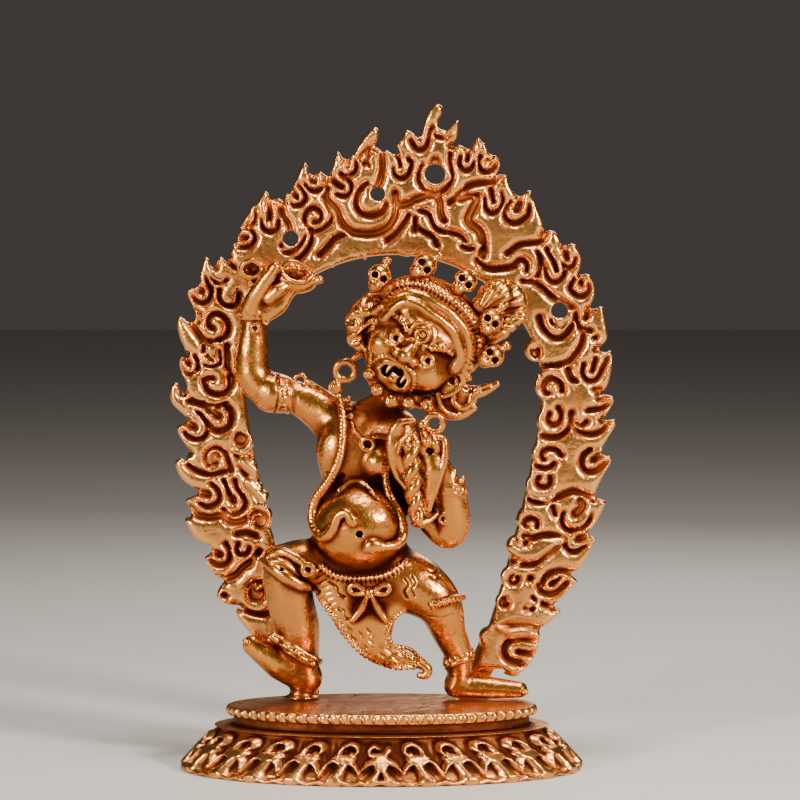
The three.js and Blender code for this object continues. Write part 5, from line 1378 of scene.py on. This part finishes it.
def sculptNoose(clay):
    # the fist, the loops over it, the twisted cord and the flat strap that it holds
    clay.egg((5.6, -5.0, 43.6), (2.2, 1.6, 1.5), 0.3)
    for x, z in [(4.6, 44.2), (5.9, 44.4), (7.1, 44.1)]:
        clay.limb([(x - 0.3, -5.8, z + 0.9), (x, -6.5, z), (x + 0.2, -6.1, z - 0.9)], [0.5, 0.6, 0.5], 0.12)
    loop = path("4.2,-5.0,47.0 2.3,-5.2,46.6 1.3,-5.0,44.8 1.4,-4.8,42.2 2.0,-4.6,40.0 3.2,-4.8,38.2")
    clay.limb(loop, [0.5, 0.6, 0.6, 0.6, 0.5, 0.4], 0.15)
    clay.limb(path("2.2,-5.7,42.8 2.6,-6.0,44.2 3.6,-6.3,45.3"), [0.35, 0.4, 0.35], 0.1)
    clay.limb(path("2.3,-4.6,46.0 2.0,-4.4,43.6 3.0,-4.4,40.6"), [1.0, 1.2, 0.8], 0.3)
    strands = 2
    turns = 2.2
    cord = path("4.0,-6.2,43.6 4.0,-6.6,41.4 4.2,-6.5,38.8 4.3,-6.1,36.4 4.8,-5.4,33.8")
    spine, share = smoothCurve(cord, 0.25)
    for strand in range(strands):
        angle = share * turns * 2 * math.pi + strand * math.pi
        offset = np.column_stack([np.cos(angle) * 0.5, -np.sin(angle) * 0.5, 0 * angle])
        clay.limb(spine + offset, [0.66, 0.72, 0.64, 0.55], 0.05, spacing=0.3)
    strap = path("6.4,-5.6,42.8 7.0,-5.7,40.4 6.6,-5.5,37.8 6.0,-5.2,35.4")
    clay.limb(strap, [1.1, 1.3, 1.0, 0.5], 0.3, flat=0.5)
    strapEdge = path("7.4,-5.6,44.8 8.3,-5.7,44.4 8.4,-5.9,42.4 7.9,-5.9,40.2 7.0,-5.7,37.6 6.3,-5.5,35.2")
    clay.limb(strapEdge, [0.45, 0.5, 0.5, 0.45, 0.4, 0.35], 0.12)
    clay.egg((6.4, -6.8, 43.0), (0.6, 1.1, 0.55), 0.1, 0.5, cut=True)
    clay.egg((5.1, -4.8, 33.6), (1.3, 1.1, 0.9), 0.3)
    clay.limb(path("4.0,-5.5,34.4 5.0,-5.9,33.4 6.4,-5.4,33.8 7.4,-4.8,34.6"), [0.3, 0.35, 0.35, 0.25], 0.1)
    # the ear ornament that hangs over the fist
    clay.ring((7.0, -5.2, 46.7), (0.05, 1, 0.1), 1.15, 0.42, 0.05)
    clay.egg((5.5, -5.2, 46.5), (0.75, 0.75, 0.75), 0.1)
    clay.limb([(6.6, -4.6, 47.9), (5.6, -1.8, 50.4)], [0.6, 1.0], 0.3)


def sculptLegs(clay):
    clay.limb(
        [pose["rightHip"], (-8.4, 1.6, 27.2), pose["rightKnee"], (-12.4, 1.6, 23.0), (-11.4, 2.6, 18.6),
         (-10.9, 3.6, 14.6), pose["rightAnkle"]],
        [4.4, 3.6, 3.1, 3.2, 3.0, 2.4, 2.0], 1.0,
    )
    clay.limb(path("-10.2,4.0,11.6 -13.6,3.6,13.6 -17.4,3.4,16.1"), [2.2, 2.3, 1.4], 0.7, flat=0.85)
    clay.egg((-10.4, 4.4, 11.4), (1.6, 1.7, 1.5), 0.5)
    for toe in range(4):
        place = (-18.3 + 0.32 * toe, 2.2 + 0.5 * toe, 16.7 - 0.42 * toe)
        clay.egg(place, (0.5, 0.42, 0.42), 0.12, 0.6)
    clay.limb([(-10.9, 4.2, 11.6), (-10.9, 4.4, 8.0)], [1.5, 1.6], 0.4)
    clay.egg((-10.9, 4.3, 8.8), (2.6, 2.2, 0.55), 0.5)
    clay.ring((-10.7, 3.6, 14.9), (0.4, 0.1, 0.9), 2.6, 0.4, 0.1)
    anklet = path("-14.8,17.7 -13.4,16.7 -12.0,15.8 -10.6,14.9 -9.2,14.1")
    for shift in [-0.55, 0.55]:
        clay.ridge(anklet + np.array([0.57, 0.82]) * shift, 0.3, 0.0)
    for x, z in smoothCurve(anklet, 0.78)[0]:
        clay.egg(tuple(clay.laid([(x, z)], 0.1)[0]), (0.42, 0.45, 0.42), 0.05)
    clay.limb(
        [pose["leftHip"], (4.6, 1.4, 24.4), pose["leftKnee"], (9.0, 1.8, 18.2), (10.4, 3.0, 14.6),
         pose["leftAnkle"]],
        [4.4, 4.0, 3.1, 2.3, 1.8, 1.6], 1.0,
    )
    clay.limb([(10.0, 4.0, 10.5), (14.4, 3.6, 10.3), (18.6, 3.0, 10.1)], [1.6, 1.5, 1.1], 0.7)
    for toe in range(4):
        clay.egg((19.3 - 0.2 * toe, 1.9 + 0.62 * toe, 9.9), (0.5, 0.38, 0.45), 0.12)
    clay.ring((10.3, 3.0, 14.9), (-0.35, 0.2, 0.9), 1.95, 0.3, 0.1)
    clay.beadRing((10.4, 3.0, 14.3), (-0.35, 0.2, 0.9), 1.95, 0.4, 15)
    clay.ring((10.5, 3.0, 13.7), (-0.35, 0.2, 0.9), 1.9, 0.3, 0.1)


def sculptSkirt(clay):
    # the hanging tiger skin, with its raised and notched hem
    fall = path("-6.8,-0.8,23.2 -3.9,-0.8,19.6 -0.9,-0.8,16.6 2.4,-0.8,14.8 5.2,-0.8,14.2")
    clay.limb(fall, [1.5, 1.9, 2.0, 1.3, 0.8], 0.4, flat=0.4)
    clay.limb(path("-4.3,-0.8,24.6 -2.2,-0.8,20.6 -1.2,-0.8,17.2"), [4.0, 4.0, 2.4], 0.5, flat=0.3)
    clay.limb(path("1.8,-0.8,25.2 1.0,-0.8,22.2"), [3.2, 2.2], 0.5, flat=0.4)
    clay.limb(path("-7.0,0.6,25.8 -2.0,-0.2,24.2 3.6,0.4,25.6"), [2.6, 3.0, 2.8], 0.5, flat=0.8)
    outerHem = path("-9.4,23.6 -8.0,21.4 -6.6,19.6 -5.2,17.4 -3.4,15.4 -1.2,13.9 1.4,13.2 3.9,13.3")
    innerHem = path("3.4,21.2 1.9,19.9 1.3,18.2 2.0,16.7 4.2,15.9 5.6,14.8")
    clay.ridge(outerHem + np.array([0.5, 0.4]), 0.35, -0.05)
    clay.notches(outerHem + np.array([0.35, 0.25]), 0.75, 0.17, 0.7)
    clay.ridge(innerHem + np.array([-0.4, 0.1]), 0.3, -0.05)
    clay.notches(innerHem + np.array([-0.35, 0.0]), 0.5, 0.14, 0.6)
    clay.limb(path("5.2,-1.0,14.2 6.2,-1.1,13.4 5.9,-1.2,12.6 5.1,-1.1,12.6"), [0.7, 0.65, 0.55, 0.45], 0.15)
    # a fringe of fur round the waist and down the inside of the raised leg
    waist = path("-8.0,27.3 -6.0,26.0 -2.8,25.7 0.6,26.2 3.2,27.8")
    clay.ridge(waist, 0.55, -0.25)
    clay.notches(waist, 0.6, 0.18, 0.55)
    clay.notches(path("-8.6,26.2 -7.6,24.6 -7.0,23.0 -5.8,21.0"), 0.8, 0.16, 0.6)
    # pairs of wavy stripes
    for line in [
        "-2.0,18.9 -1.5,18.2 -1.7,17.5 -1.1,16.8", "-3.0,18.4 -2.5,17.7 -2.7,17.0 -2.1,16.3",
        "0.6,16.2 1.4,15.7 2.2,15.9 3.0,15.3", "-0.2,15.5 0.6,15.0 1.4,15.2 2.2,14.5",
        "3.1,25.7 3.5,24.9 3.0,24.0 3.4,23.1", "4.1,26.1 4.5,25.2 4.0,24.3 4.4,23.4",
        "-5.8,21.7 -5.0,21.3 -4.9,20.5 -4.1,20.1", "-7.0,25.2 -6.0,24.6 -5.8,23.7 -4.9,23.2",
        "6.3,26.8 7.0,26.4 7.4,26.8", "6.5,26.0 7.2,25.6 7.8,26.0", "-4.6,19.2 -4.0,18.6 -4.1,17.9 -3.5,17.3",
    ]:
        clay.groove(path(line), 0.2, 0.02)
    # the bow that ties it
    for side, centre in [(-1, -3.3), (1, 0.1)]:
        loop = path("-1.3,24.0 0.3,25.0 1.0,24.4 0.4,23.7 -1.2,23.8") * (side, 1) + (centre, 0)
        clay.ridge(loop, 0.36, 0.25)
    clay.egg(tuple(clay.laid([(-1.6, 24.0)], 0.35)[0]), (0.65, 0.6, 0.65), 0.1)
    clay.ridge(path("-1.9,23.5 -2.6,21.8 -3.9,20.1"), [0.3, 0.6, 0.42], 0.1)
    clay.ridge(path("-1.3,23.5 -0.6,21.8 0.6,20.0"), [0.3, 0.6, 0.42], 0.1)
    # cuff at the bent knee
    clay.limb(path("5.9,-1.3,21.6 7.6,-2.6,22.4 9.6,-1.6,22.9 10.9,0.6,22.9"), [0.45, 0.55, 0.55, 0.45], 0.2)
    clay.notches(path("6.1,21.9 7.6,22.4 9.2,22.8 10.6,22.9"), 0.55, 0.15, 0.5)
    clay.groove(path("6.0,20.6 7.8,20.5 9.8,21.0"), 0.18, 0.1)
    clay.egg((6.6, -2.6, 28.2), (0.35, 0.9, 0.35), 0.1, cut=True)
    # knee cloth with its rolled hem and the paw
    clay.egg((-13.2, 0.2, 27.9), (2.9, 2.4, 2.0), 0.6, 0.3)
    rolledHem = path("-15.7,0.2,28.0 -14.2,-1.6,27.0 -12.6,-2.3,25.9 -10.9,-2.1,24.9 -9.8,-1.4,24.4")
    clay.limb(rolledHem, [0.75, 0.85, 0.9, 0.75, 0.5], 0.2)
    upperRoll = path("-15.4,0.2,28.9 -13.6,-1.4,29.3 -11.6,-2.0,28.6 -10.4,-2.5,27.9")
    clay.limb(upperRoll, [0.5, 0.65, 0.7, 0.55], 0.25)
    clay.ridge(path("-14.8,27.9 -13.4,28.0 -12.2,27.2 -11.2,26.2"), 0.3, -0.05)
    clay.ring((-9.8, -2.7, 27.0), (0, 1, 0), 0.72, 0.36, 0.1)
    clay.egg((-13.3, -2.0, 26.9), (0.35, 0.9, 0.35), 0.1, cut=True)
    clay.limb(path("-10.4,-2.4,26.8 -9.4,-2.3,26.1 -8.6,-2.2,26.8"), [0.4, 0.45, 0.3], 0.15)
    clay.groove(path("-15.2,28.4 -13.8,28.7 -12.2,28.2 -11.0,27.2"), 0.2, 0.05)


def sculptSkulls(clay):
    middle = np.array([0.3, 1.0])
    tilt = math.radians(figure["headTilt"])
    for degrees, lean in zip(figure["skullAngles"], figure["skullLeans"]):
        turn = math.radians(degrees)
        ray = np.array([math.cos(turn), math.sin(turn)])
        centre = middle + ray * figure["skullRing"]
        upward = np.array([math.cos(turn - math.radians(lean)), math.sin(turn - math.radians(lean))])
        across = np.array([upward[1], -upward[0]])
        face = tilt + math.pi / 2 - math.atan2(upward[1], upward[0])

        def put(side, rise, forward, radii, blend=0.1, cut=False):
            right, up = centre + across * side + upward * rise
            clay.egg(inHead(right, up, forward), radii, blend, face, cut)

        foot = middle + ray * (figure["skullRing"] - 4.2)
        clay.limb([inHead(*foot, 0.2), inHead(*(centre - ray * 1.0), 1.6)], [1.5, 1.0], 0.4)
        put(0, 0.2, 2.0, (1.6, 1.5, 1.55), 0.3)
        put(0, -1.1, 2.5, (1.0, 1.0, 0.95), 0.3)
        put(0, 1.75, 2.0, (0.5, 0.5, 0.45), 0.15)
        put(0, 2.45, 2.0, (0.62, 0.6, 0.55), 0.05)
        for side in [-1, 1]:
            put(side * 0.66, 0.1, 3.4, (0.5, 1.1, 0.5), 0.06, cut=True)
            put(side * 0.85, -0.55, 3.0, (0.4, 0.35, 0.3), 0.15)
        put(0, -0.62, 3.5, (0.18, 0.45, 0.22), 0.05, cut=True)
        for side in [-0.45, -0.15, 0.15, 0.45]:
            put(side, -1.2, 3.4, (0.13, 0.2, 0.24), 0.04)


def sculptFace(clay):
    headEgg(clay, 0.2, -0.6, 0, (5.9, 5.0, 6.7), 0.5)
    headEgg(clay, 0.4, 2.6, 2.4, (4.3, 2.7, 2.3), 0.5)
    headEgg(clay, -3.1, -2.1, 2.8, (2.1, 2.0, 1.8), 0.9)
    headEgg(clay, 3.6, -2.0, 2.7, (2.5, 2.0, 2.1), 1.0)
    # nose with broad wings
    headLimb(clay, "0.2,1.0,4.5 0.1,-0.4,5.0 0.0,-1.5,5.5", [0.6, 0.75, 1.1], 0.3)
    headEgg(clay, -1.15, -1.8, 4.9, (0.85, 0.9, 0.7), 0.2)
    headEgg(clay, 1.25, -1.6, 4.9, (0.85, 0.9, 0.7), 0.2)
    headEgg(clay, -0.7, -2.4, 5.6, (0.24, 0.5, 0.22), 0.05, cut=True)
    headEgg(clay, 0.85, -2.25, 5.6, (0.24, 0.5, 0.22), 0.05, cut=True)
    # muzzle and open mouth: curled upper lip, teeth, fangs, tongue and lower lip
    headEgg(clay, 0.3, -4.4, 1.1, (2.9, 2.3, 2.4), 1.0)
    headEgg(clay, -2.6, 3.1, 2.9, (1.7, 1.5, 1.4), 0.5)
    headEgg(clay, 3.4, 2.9, 2.8, (1.9, 1.6, 1.5), 0.5)
    for right, up, wide, tall in [(-0.8, -4.65, 0.95, 0.8), (0.4, -3.9, 0.9, 0.65), (1.65, -4.8, 0.9, 0.9)]:
        headEgg(clay, right, up, 4.3, (wide, 2.0, tall), 0.25, cut=True)
    for lip, width in [
        ("-1.9,-5.1 -1.75,-4.1 -1.2,-3.4 -0.4,-3.1 0.2,-3.3", [0.2, 0.28, 0.32, 0.28, 0.2]),
        ("0.2,-3.3 0.9,-3.0 1.7,-3.3 2.3,-4.1 2.4,-4.9", [0.2, 0.28, 0.32, 0.28, 0.2]),
        ("-1.5,-5.4 -0.6,-5.8 0.5,-5.95 1.6,-5.8 2.4,-5.4", [0.2, 0.28, 0.3, 0.28, 0.2]),
    ]:
        clay.limb([inHead(*point, 4.05) for point in path(lip)], width, 0.2)
    headEgg(clay, 0.45, -5.1, 3.2, (0.8, 0.9, 0.5), 0.2)
    for right in [0.0, 0.42, 0.84]:
        headEgg(clay, right, -4.5, 3.7, (0.23, 0.4, 0.3), 0.05)
    for side in [-1, 1]:
        headLimb(clay, f"{0.4 + side * 1.2},-3.7,3.9 {0.4 + side * 1.15},-4.9,4.1", [0.34, 0.12], 0.05)
    # eyes: a ring of lid round a flat ball with a drilled pupil
    for right, up, forward, wide in [(-2.35, -0.4, 4.0, 0.72), (2.8, -0.4, 3.95, 0.74)]:
        headEgg(clay, right, up, forward, (1.2, 0.8, 1.1), 0.4)
        x, z = onHead(f"{right},{up}")[0]
        depth = float(clay.front(np.array([x]), np.array([z]))[0])
        clay.ring((x, depth + 0.1, z), (0, 1, 0), wide, 0.27, 0.05)
        clay.egg((x, depth, z), (0.34, 1.0, 0.34), 0.05, cut=True)
        clay.ridge(spiral((x, z), wide + 0.55, 0.45, 200), 0.2, 0.0)
    headEgg(clay, 0.2, 2.0, 4.6, (1.15, 0.7, 1.2), 0.2)
    x, z = onHead("0.2,2.0")[0]
    depth = float(clay.front(np.array([x]), np.array([z]))[0])
    clay.ring((x, depth + 0.05, z), (0.05, 1, 0), 0.86, 0.27, 0.05)
    clay.egg((x, depth, z), (0.42, 0.4, 0.42), 0.05)
    clay.egg((x, depth - 0.4, z), (0.14, 0.4, 0.14), 0.03, cut=True)
    for line, width in [
        ("-2.0,1.3 -1.3,1.2 -1.5,2.3 -1.1,3.2 -0.3,3.6", 0.24), ("1.2,0.9 2.0,1.5 1.9,2.7 1.1,3.5", 0.24),
        ("-1.0,0.4 -0.4,0.9 0.2,0.6", 0.2), ("0.2,0.6 0.9,1.0 1.4,0.5", 0.2),
    ]:
        clay.ridge(onHead(line), width, 0.0)
    for line in ["-4.1,1.9 -3.0,2.0 -1.9,1.3", "2.3,1.3 3.5,2.2 4.8,2.2"]:
        brow = onHead(line)
        clay.ridge(brow, [0.45, 0.62, 0.4], 0.1)
        clay.notches(brow, 0.5, 0.14, 0.5)
    # laughing folds, moustache and the curls of the beard
    for line, width in [
        ("-3.9,-3.9 -3.4,-4.8 -2.9,-5.6", 0.32),
        ("-0.9,-2.8 -2.0,-3.1 -2.8,-4.1 -3.0,-5.2", [0.25, 0.34, 0.3, 0.2]),
        ("1.1,-2.7 2.3,-3.0 3.2,-4.0 3.5,-5.2", [0.25, 0.34, 0.3, 0.2]),
        ("5.0,-4.0 4.5,-4.9 3.8,-5.6", 0.32),
        ("6.0,-3.0 5.7,-4.0 5.1,-4.8", 0.3),
    ]:
        clay.ridge(onHead(line), width, 0.0)
        clay.notches(onHead(line), 0.45, 0.12, 0.35)
    headLimb(clay, "-2.2,-6.0,1.6 -0.2,-7.0,1.5 2.1,-7.1,1.4 4.0,-6.0,1.4 6.0,-4.8,1.0", 1.1, 0.3)
    for right, up, radius, start in [
        (-2.4, -6.4, 0.85, 0), (-0.3, -7.5, 0.95, 60), (2.1, -7.6, 0.95, 100), (4.1, -6.4, 0.9, 150),
        (6.0, -5.2, 0.8, 180),
    ]:
        headEgg(clay, right, up, 2.5, (radius, 1.1, radius), 0.2)
        x, z = onHead(f"{right},{up}")[0]
        clay.groove(spiral((x, z), radius * 0.62, 0.9, start), 0.2, 0.0)


def sculptCrown(clay):
    headEgg(clay, 0.4, 2.0, -1.4, (8.2, 4.6, 7.6), 0.6)
    headEgg(clay, 0.4, 1.4, 0.6, (7.4, 3.4, 6.6), 0.4)
    # three bands over the forehead, the outer one wound with wire
    bands = [
        (
            "-6.9,1.6,0.6 -6.4,4.4,1.3 -5.2,6.4,1.9 -3.0,7.5,2.2 -0.6,7.8,2.3 "
            "1.8,7.8,2.2 4.2,7.2,2.0 6.3,5.9,1.7 7.5,4.1,1.3 7.7,2.3,0.8",
            0.72,
        ),
        (
            "-5.9,1.0,1.6 -5.7,3.2,2.5 -4.8,5.0,3.2 -2.9,6.0,3.5 -0.6,6.3,3.6 "
            "1.6,6.4,3.5 3.9,5.9,3.3 5.7,4.9,3.0 6.9,3.2,2.5 7.1,1.4,1.9",
            0.66,
        ),
        (
            "-5.0,0.9,2.8 -4.8,2.9,3.5 -4.0,4.3,4.0 -2.2,4.9,4.2 -0.4,4.9,4.3 "
            "1.4,5.0,4.2 3.2,4.7,4.0 4.8,3.8,3.7 6.0,2.5,3.3 6.2,0.9,2.9",
            0.58,
        ),
    ]
    for text, thickness in bands:
        spine = path(text)
        clay.limb([inHead(*point) for point in spine - (0, 0, 0.5)], thickness + 0.35, 0.2)
        headLimb(clay, text, thickness, 0.06)
    line = np.array([inHead(*point)[::2] for point in path(bands[0][0])])
    clay.notches(line, 0.62, 0.17, 0.6)
    # ear, its hollow and the knot over it
    headEgg(clay, 7.1, -1.3, 0.9, (1.2, 1.1, 2.0), 0.2)
    earRim = "6.1,-0.7,1.9 6.6,0.4,1.9 7.6,0.6,1.8 8.4,-0.2,1.6 8.1,-1.8,1.6 7.3,-3.1,1.8"
    headLimb(clay, earRim, [0.35, 0.4, 0.4, 0.4, 0.4, 0.35], 0.1)
    headEgg(clay, 7.1, -0.7, 2.2, (0.55, 0.7, 0.6), 0.1, cut=True)
    headEgg(clay, 8.0, 2.2, 1.8, (0.55, 0.55, 0.5), 0.1)
    headLimb(clay, "7.4,1.3,1.9 8.6,0.9,1.7", 0.5, 0.1)
    # knot and hook on the other side
    headLimb(clay, "-6.6,0.6,1.4 -5.9,0.9,1.6", 0.6, 0.1)
    headLimb(clay, "-5.3,0.4,2.2 -5.9,-0.3,1.9 -5.5,-1.1,2.0 -4.9,-0.9,2.2", 0.3, 0.1)


def sculptHair(clay):
    # the combed fan and a second lock behind the crown
    headLimb(clay, "4.4,6.6,-0.6 5.4,9.2,-0.2 5.2,12.0,0.1", [2.6, 2.5, 2.0], 0.3, flat=0.55)
    clay.egg((15.9, 0.4, 62.2), (3.6, 1.5, 3.5), 0.4)
    headLimb(clay, "6.4,5.4,-0.5 8.2,8.6,0 9.4,11.6,0.2", [1.6, 1.5, 0.8], 0.2, flat=0.7)
    for degrees in range(-24, 84, 12):
        ray = np.array([math.cos(math.radians(degrees)), math.sin(math.radians(degrees))])
        clay.groove([(12.4, 60.6) + ray * reach for reach in [1.6, 4.2, 6.8]], 0.17, 0.0)
    for lock in [-0.5, 0.0, 0.5]:
        clay.groove(onHead(f"{7.4 + lock},7.2 {8.8 + lock},11.4"), 0.15, 0.0)
    # locks beside the other cheek, curled over each other
    headLimb(clay, "-7.0,2.8,-1.0 -7.9,-0.6,-0.3 -6.9,-3.2,0.1 -5.6,-4.2,0.4", [1.6, 1.6, 1.3, 0.8], 0.3)
    for line, width in [
        ("-7.2,3.4 -8.6,2.0 -8.7,0.4 -7.9,-0.2 -7.3,0.5 -7.8,1.1", 0.4),
        ("-6.4,1.6 -7.2,-0.2 -8.7,-1.2 -8.9,-2.4 -8.0,-2.9 -7.4,-2.2 -7.9,-1.7", 0.4),
        ("-6.2,-0.4 -6.6,-1.8 -7.0,-3.2 -7.4,-4.1 -6.6,-4.6 -6.0,-4.0", 0.38),
        ("-5.6,-1.2 -5.8,-2.6 -5.4,-3.8 -4.6,-4.2", 0.35),
    ]:
        clay.ridge(onHead(line), width, -0.05)
    # ribbons that fly out behind the ear
    headLimb(clay, "6.4,-2.4,0.0 8.6,-2.6,-0.2 10.4,-1.4,-0.2", [2.6, 2.0, 1.1], 0.3, flat=0.5)
    headLimb(clay, "7.4,-1.6,0.4 9.6,-0.9,0 11.2,0.6,0 12.2,2.4,0.2", [1.2, 1.0, 0.8, 0.45], 0.2, flat=0.6)
    headLimb(clay, "5.6,-4.2,0.6 8.0,-4.8,0.2 10.4,-3.8,0 11.6,-2.0,0", [1.2, 1.1, 0.9, 0.5], 0.2, flat=0.6)
    fold = "8.2,-1.9,0.9 9.0,-3.0,0.9 10.3,-2.9,0.8 10.8,-1.8,0.7 10.3,-0.7,0.6 10.6,0.3,0.6"
    headLimb(clay, fold, 0.42, 0.1)
    headLimb(clay, "6.6,-3.2,1.2 7.6,-4.2,1.0 8.8,-4.6,0.8 10.2,-4.2,0.6", 0.42, 0.1)
    clay.groove(onHead("8.6,-0.6 10.4,0.0 11.6,1.6"), 0.2, 0.0)
    # the long ear ornament on the raised side: a strap, a ring and a knot
    clay.limb(path("-1.6,0.2,56.0 -3.0,-0.3,55.6 -4.2,-0.4,54.6"), [0.8, 0.5, 0.4], 0.2)
    clay.ring((-4.85, -0.5, 53.4), (0, 1, 0.05), 1.25, 0.46, 0.05)
    clay.egg((-6.15, -0.4, 51.2), (1.0, 0.8, 1.0), 0.1)
    clay.groove(spiral((-6.15, 51.2), 0.72, 0.9, 90), 0.17, 0.0)


def sculptSnakes(clay):
    long = path(
        "-6.0,0.4,51.0 -5.5,-0.6,49.1 -5.2,-1.7,47.5 -5.2,-2.4,45.0 -5.4,-3.0,42.6 -6.1,-2.9,40.5 "
        "-7.4,-2.6,38.3 -8.7,-2.0,36.5 -9.2,-1.8,34.4 -8.9,-2.4,32.6 -7.8,-4.2,31.5 -6.6,-5.2,32.4 "
        "-5.8,-5.6,34.3 -4.7,-6.0,34.9 -3.8,-6.3,34.0"
    )
    clay.limb(long, [0.5, 0.55, 0.6, 0.65, 0.75, 0.75, 0.6], 0.1)
    clay.egg((-3.9, -6.3, 33.9), (0.8, 0.5, 0.95), 0.2, -0.5)
    short = path(
        "0.5,-2.2,41.4 0.6,-2.0,38.6 1.1,-2.4,36.8 2.1,-2.8,35.0 2.9,-3.2,33.2 2.8,-3.8,31.4 "
        "2.0,-4.6,30.5 0.5,-5.5,30.3 -0.8,-5.9,30.3"
    )
    clay.limb(short, [0.45, 0.5, 0.55, 0.65, 0.65, 0.6], 0.1)
    clay.limb(path("0.0,-5.8,30.4 -1.2,-6.1,30.5 -2.0,-6.1,30.0"), [0.75, 1.1, 0.5], 0.15, flat=0.7)
    clay.notches(long[1:11, ::2], 0.5, 0.13, 0.35)
    clay.notches(short[:6, ::2], 0.5, 0.13, 0.35)
    # necklace with its beads and medallion
    for place in ["-4.5,49.5", "-4.3,48.4", "-4.15,47.3"]:
        x, z = path(place)[0]
        clay.egg(tuple(clay.laid([(x, z)], 0.2)[0]), (0.55, 0.5, 0.52), 0.08)
    clay.ridge(path("-4.0,46.5 -3.5,45.4 -2.7,44.5"), 0.28, 0.05)
    clay.ridge(path("-1.0,44.6 -0.2,44.7 0.7,44.4 1.6,44.6"), 0.32, 0.05)
    x, y, z = clay.laid([(-1.85, 43.7)], 0.15)[0]
    clay.ring((x, y, z), (0.1, 1, 0.1), 0.8, 0.3, 0.08)
    clay.egg((x, y - 0.3, z), (0.5, 0.8, 0.5), 0.05, cut=True)


def buildFigure():
    clay, footHeight = clayRound(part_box("figure"), figure["step"])
    for sculpt in [
        sculptTorso, sculptRightArm, sculptRaisedHand, sculptLeftArm, sculptLegs, sculptSkirt, sculptCrown,
        sculptFace, sculptHair, sculptSkulls, sculptSnakes, sculptNoose,
    ]:
        sculpt(clay)
    foot = (footHeight - clay.axes[2])[None, None, :].astype(np.float32)
    clay.field = np.maximum(clay.field, foot)
    return clay


# Gold, brown and dark colours, how strongly the hollows are darkened with dirt and painted shade, and how
# satin the metal is
finishes = {
    "figureGilding": ((0.68, 0.265, 0.052), (0.22, 0.050, 0.013), (0.034, 0.005, 0.002), 2.0, 0.15),
    "aureoleGilding": ((0.90, 0.41, 0.110), (0.42, 0.13, 0.030), (0.065, 0.011, 0.004), 0.9, 0.15),
    "baseGilding": ((0.78, 0.34, 0.095), (0.36, 0.115, 0.032), (0.060, 0.012, 0.005), 1.2, 0.18),
}

for node, slot, finish, build, settings in [
    ("lotus_base", "base_gilding", "baseGilding", buildBase, base),
    ("flame_aureole", "aureole_gilding", "aureoleGilding", buildHalo, halo),
    ("figure", "figure_gilding", "figureGilding", buildFigure, figure),
]:
    clay = build()
    piece = meshFromClay(clay, f"carved_{node}", settings["mostFaces"])
    addHollows(piece, clay)
    dress(piece, node, makeGilding(finish, *finishes[finish]))
    report(node)
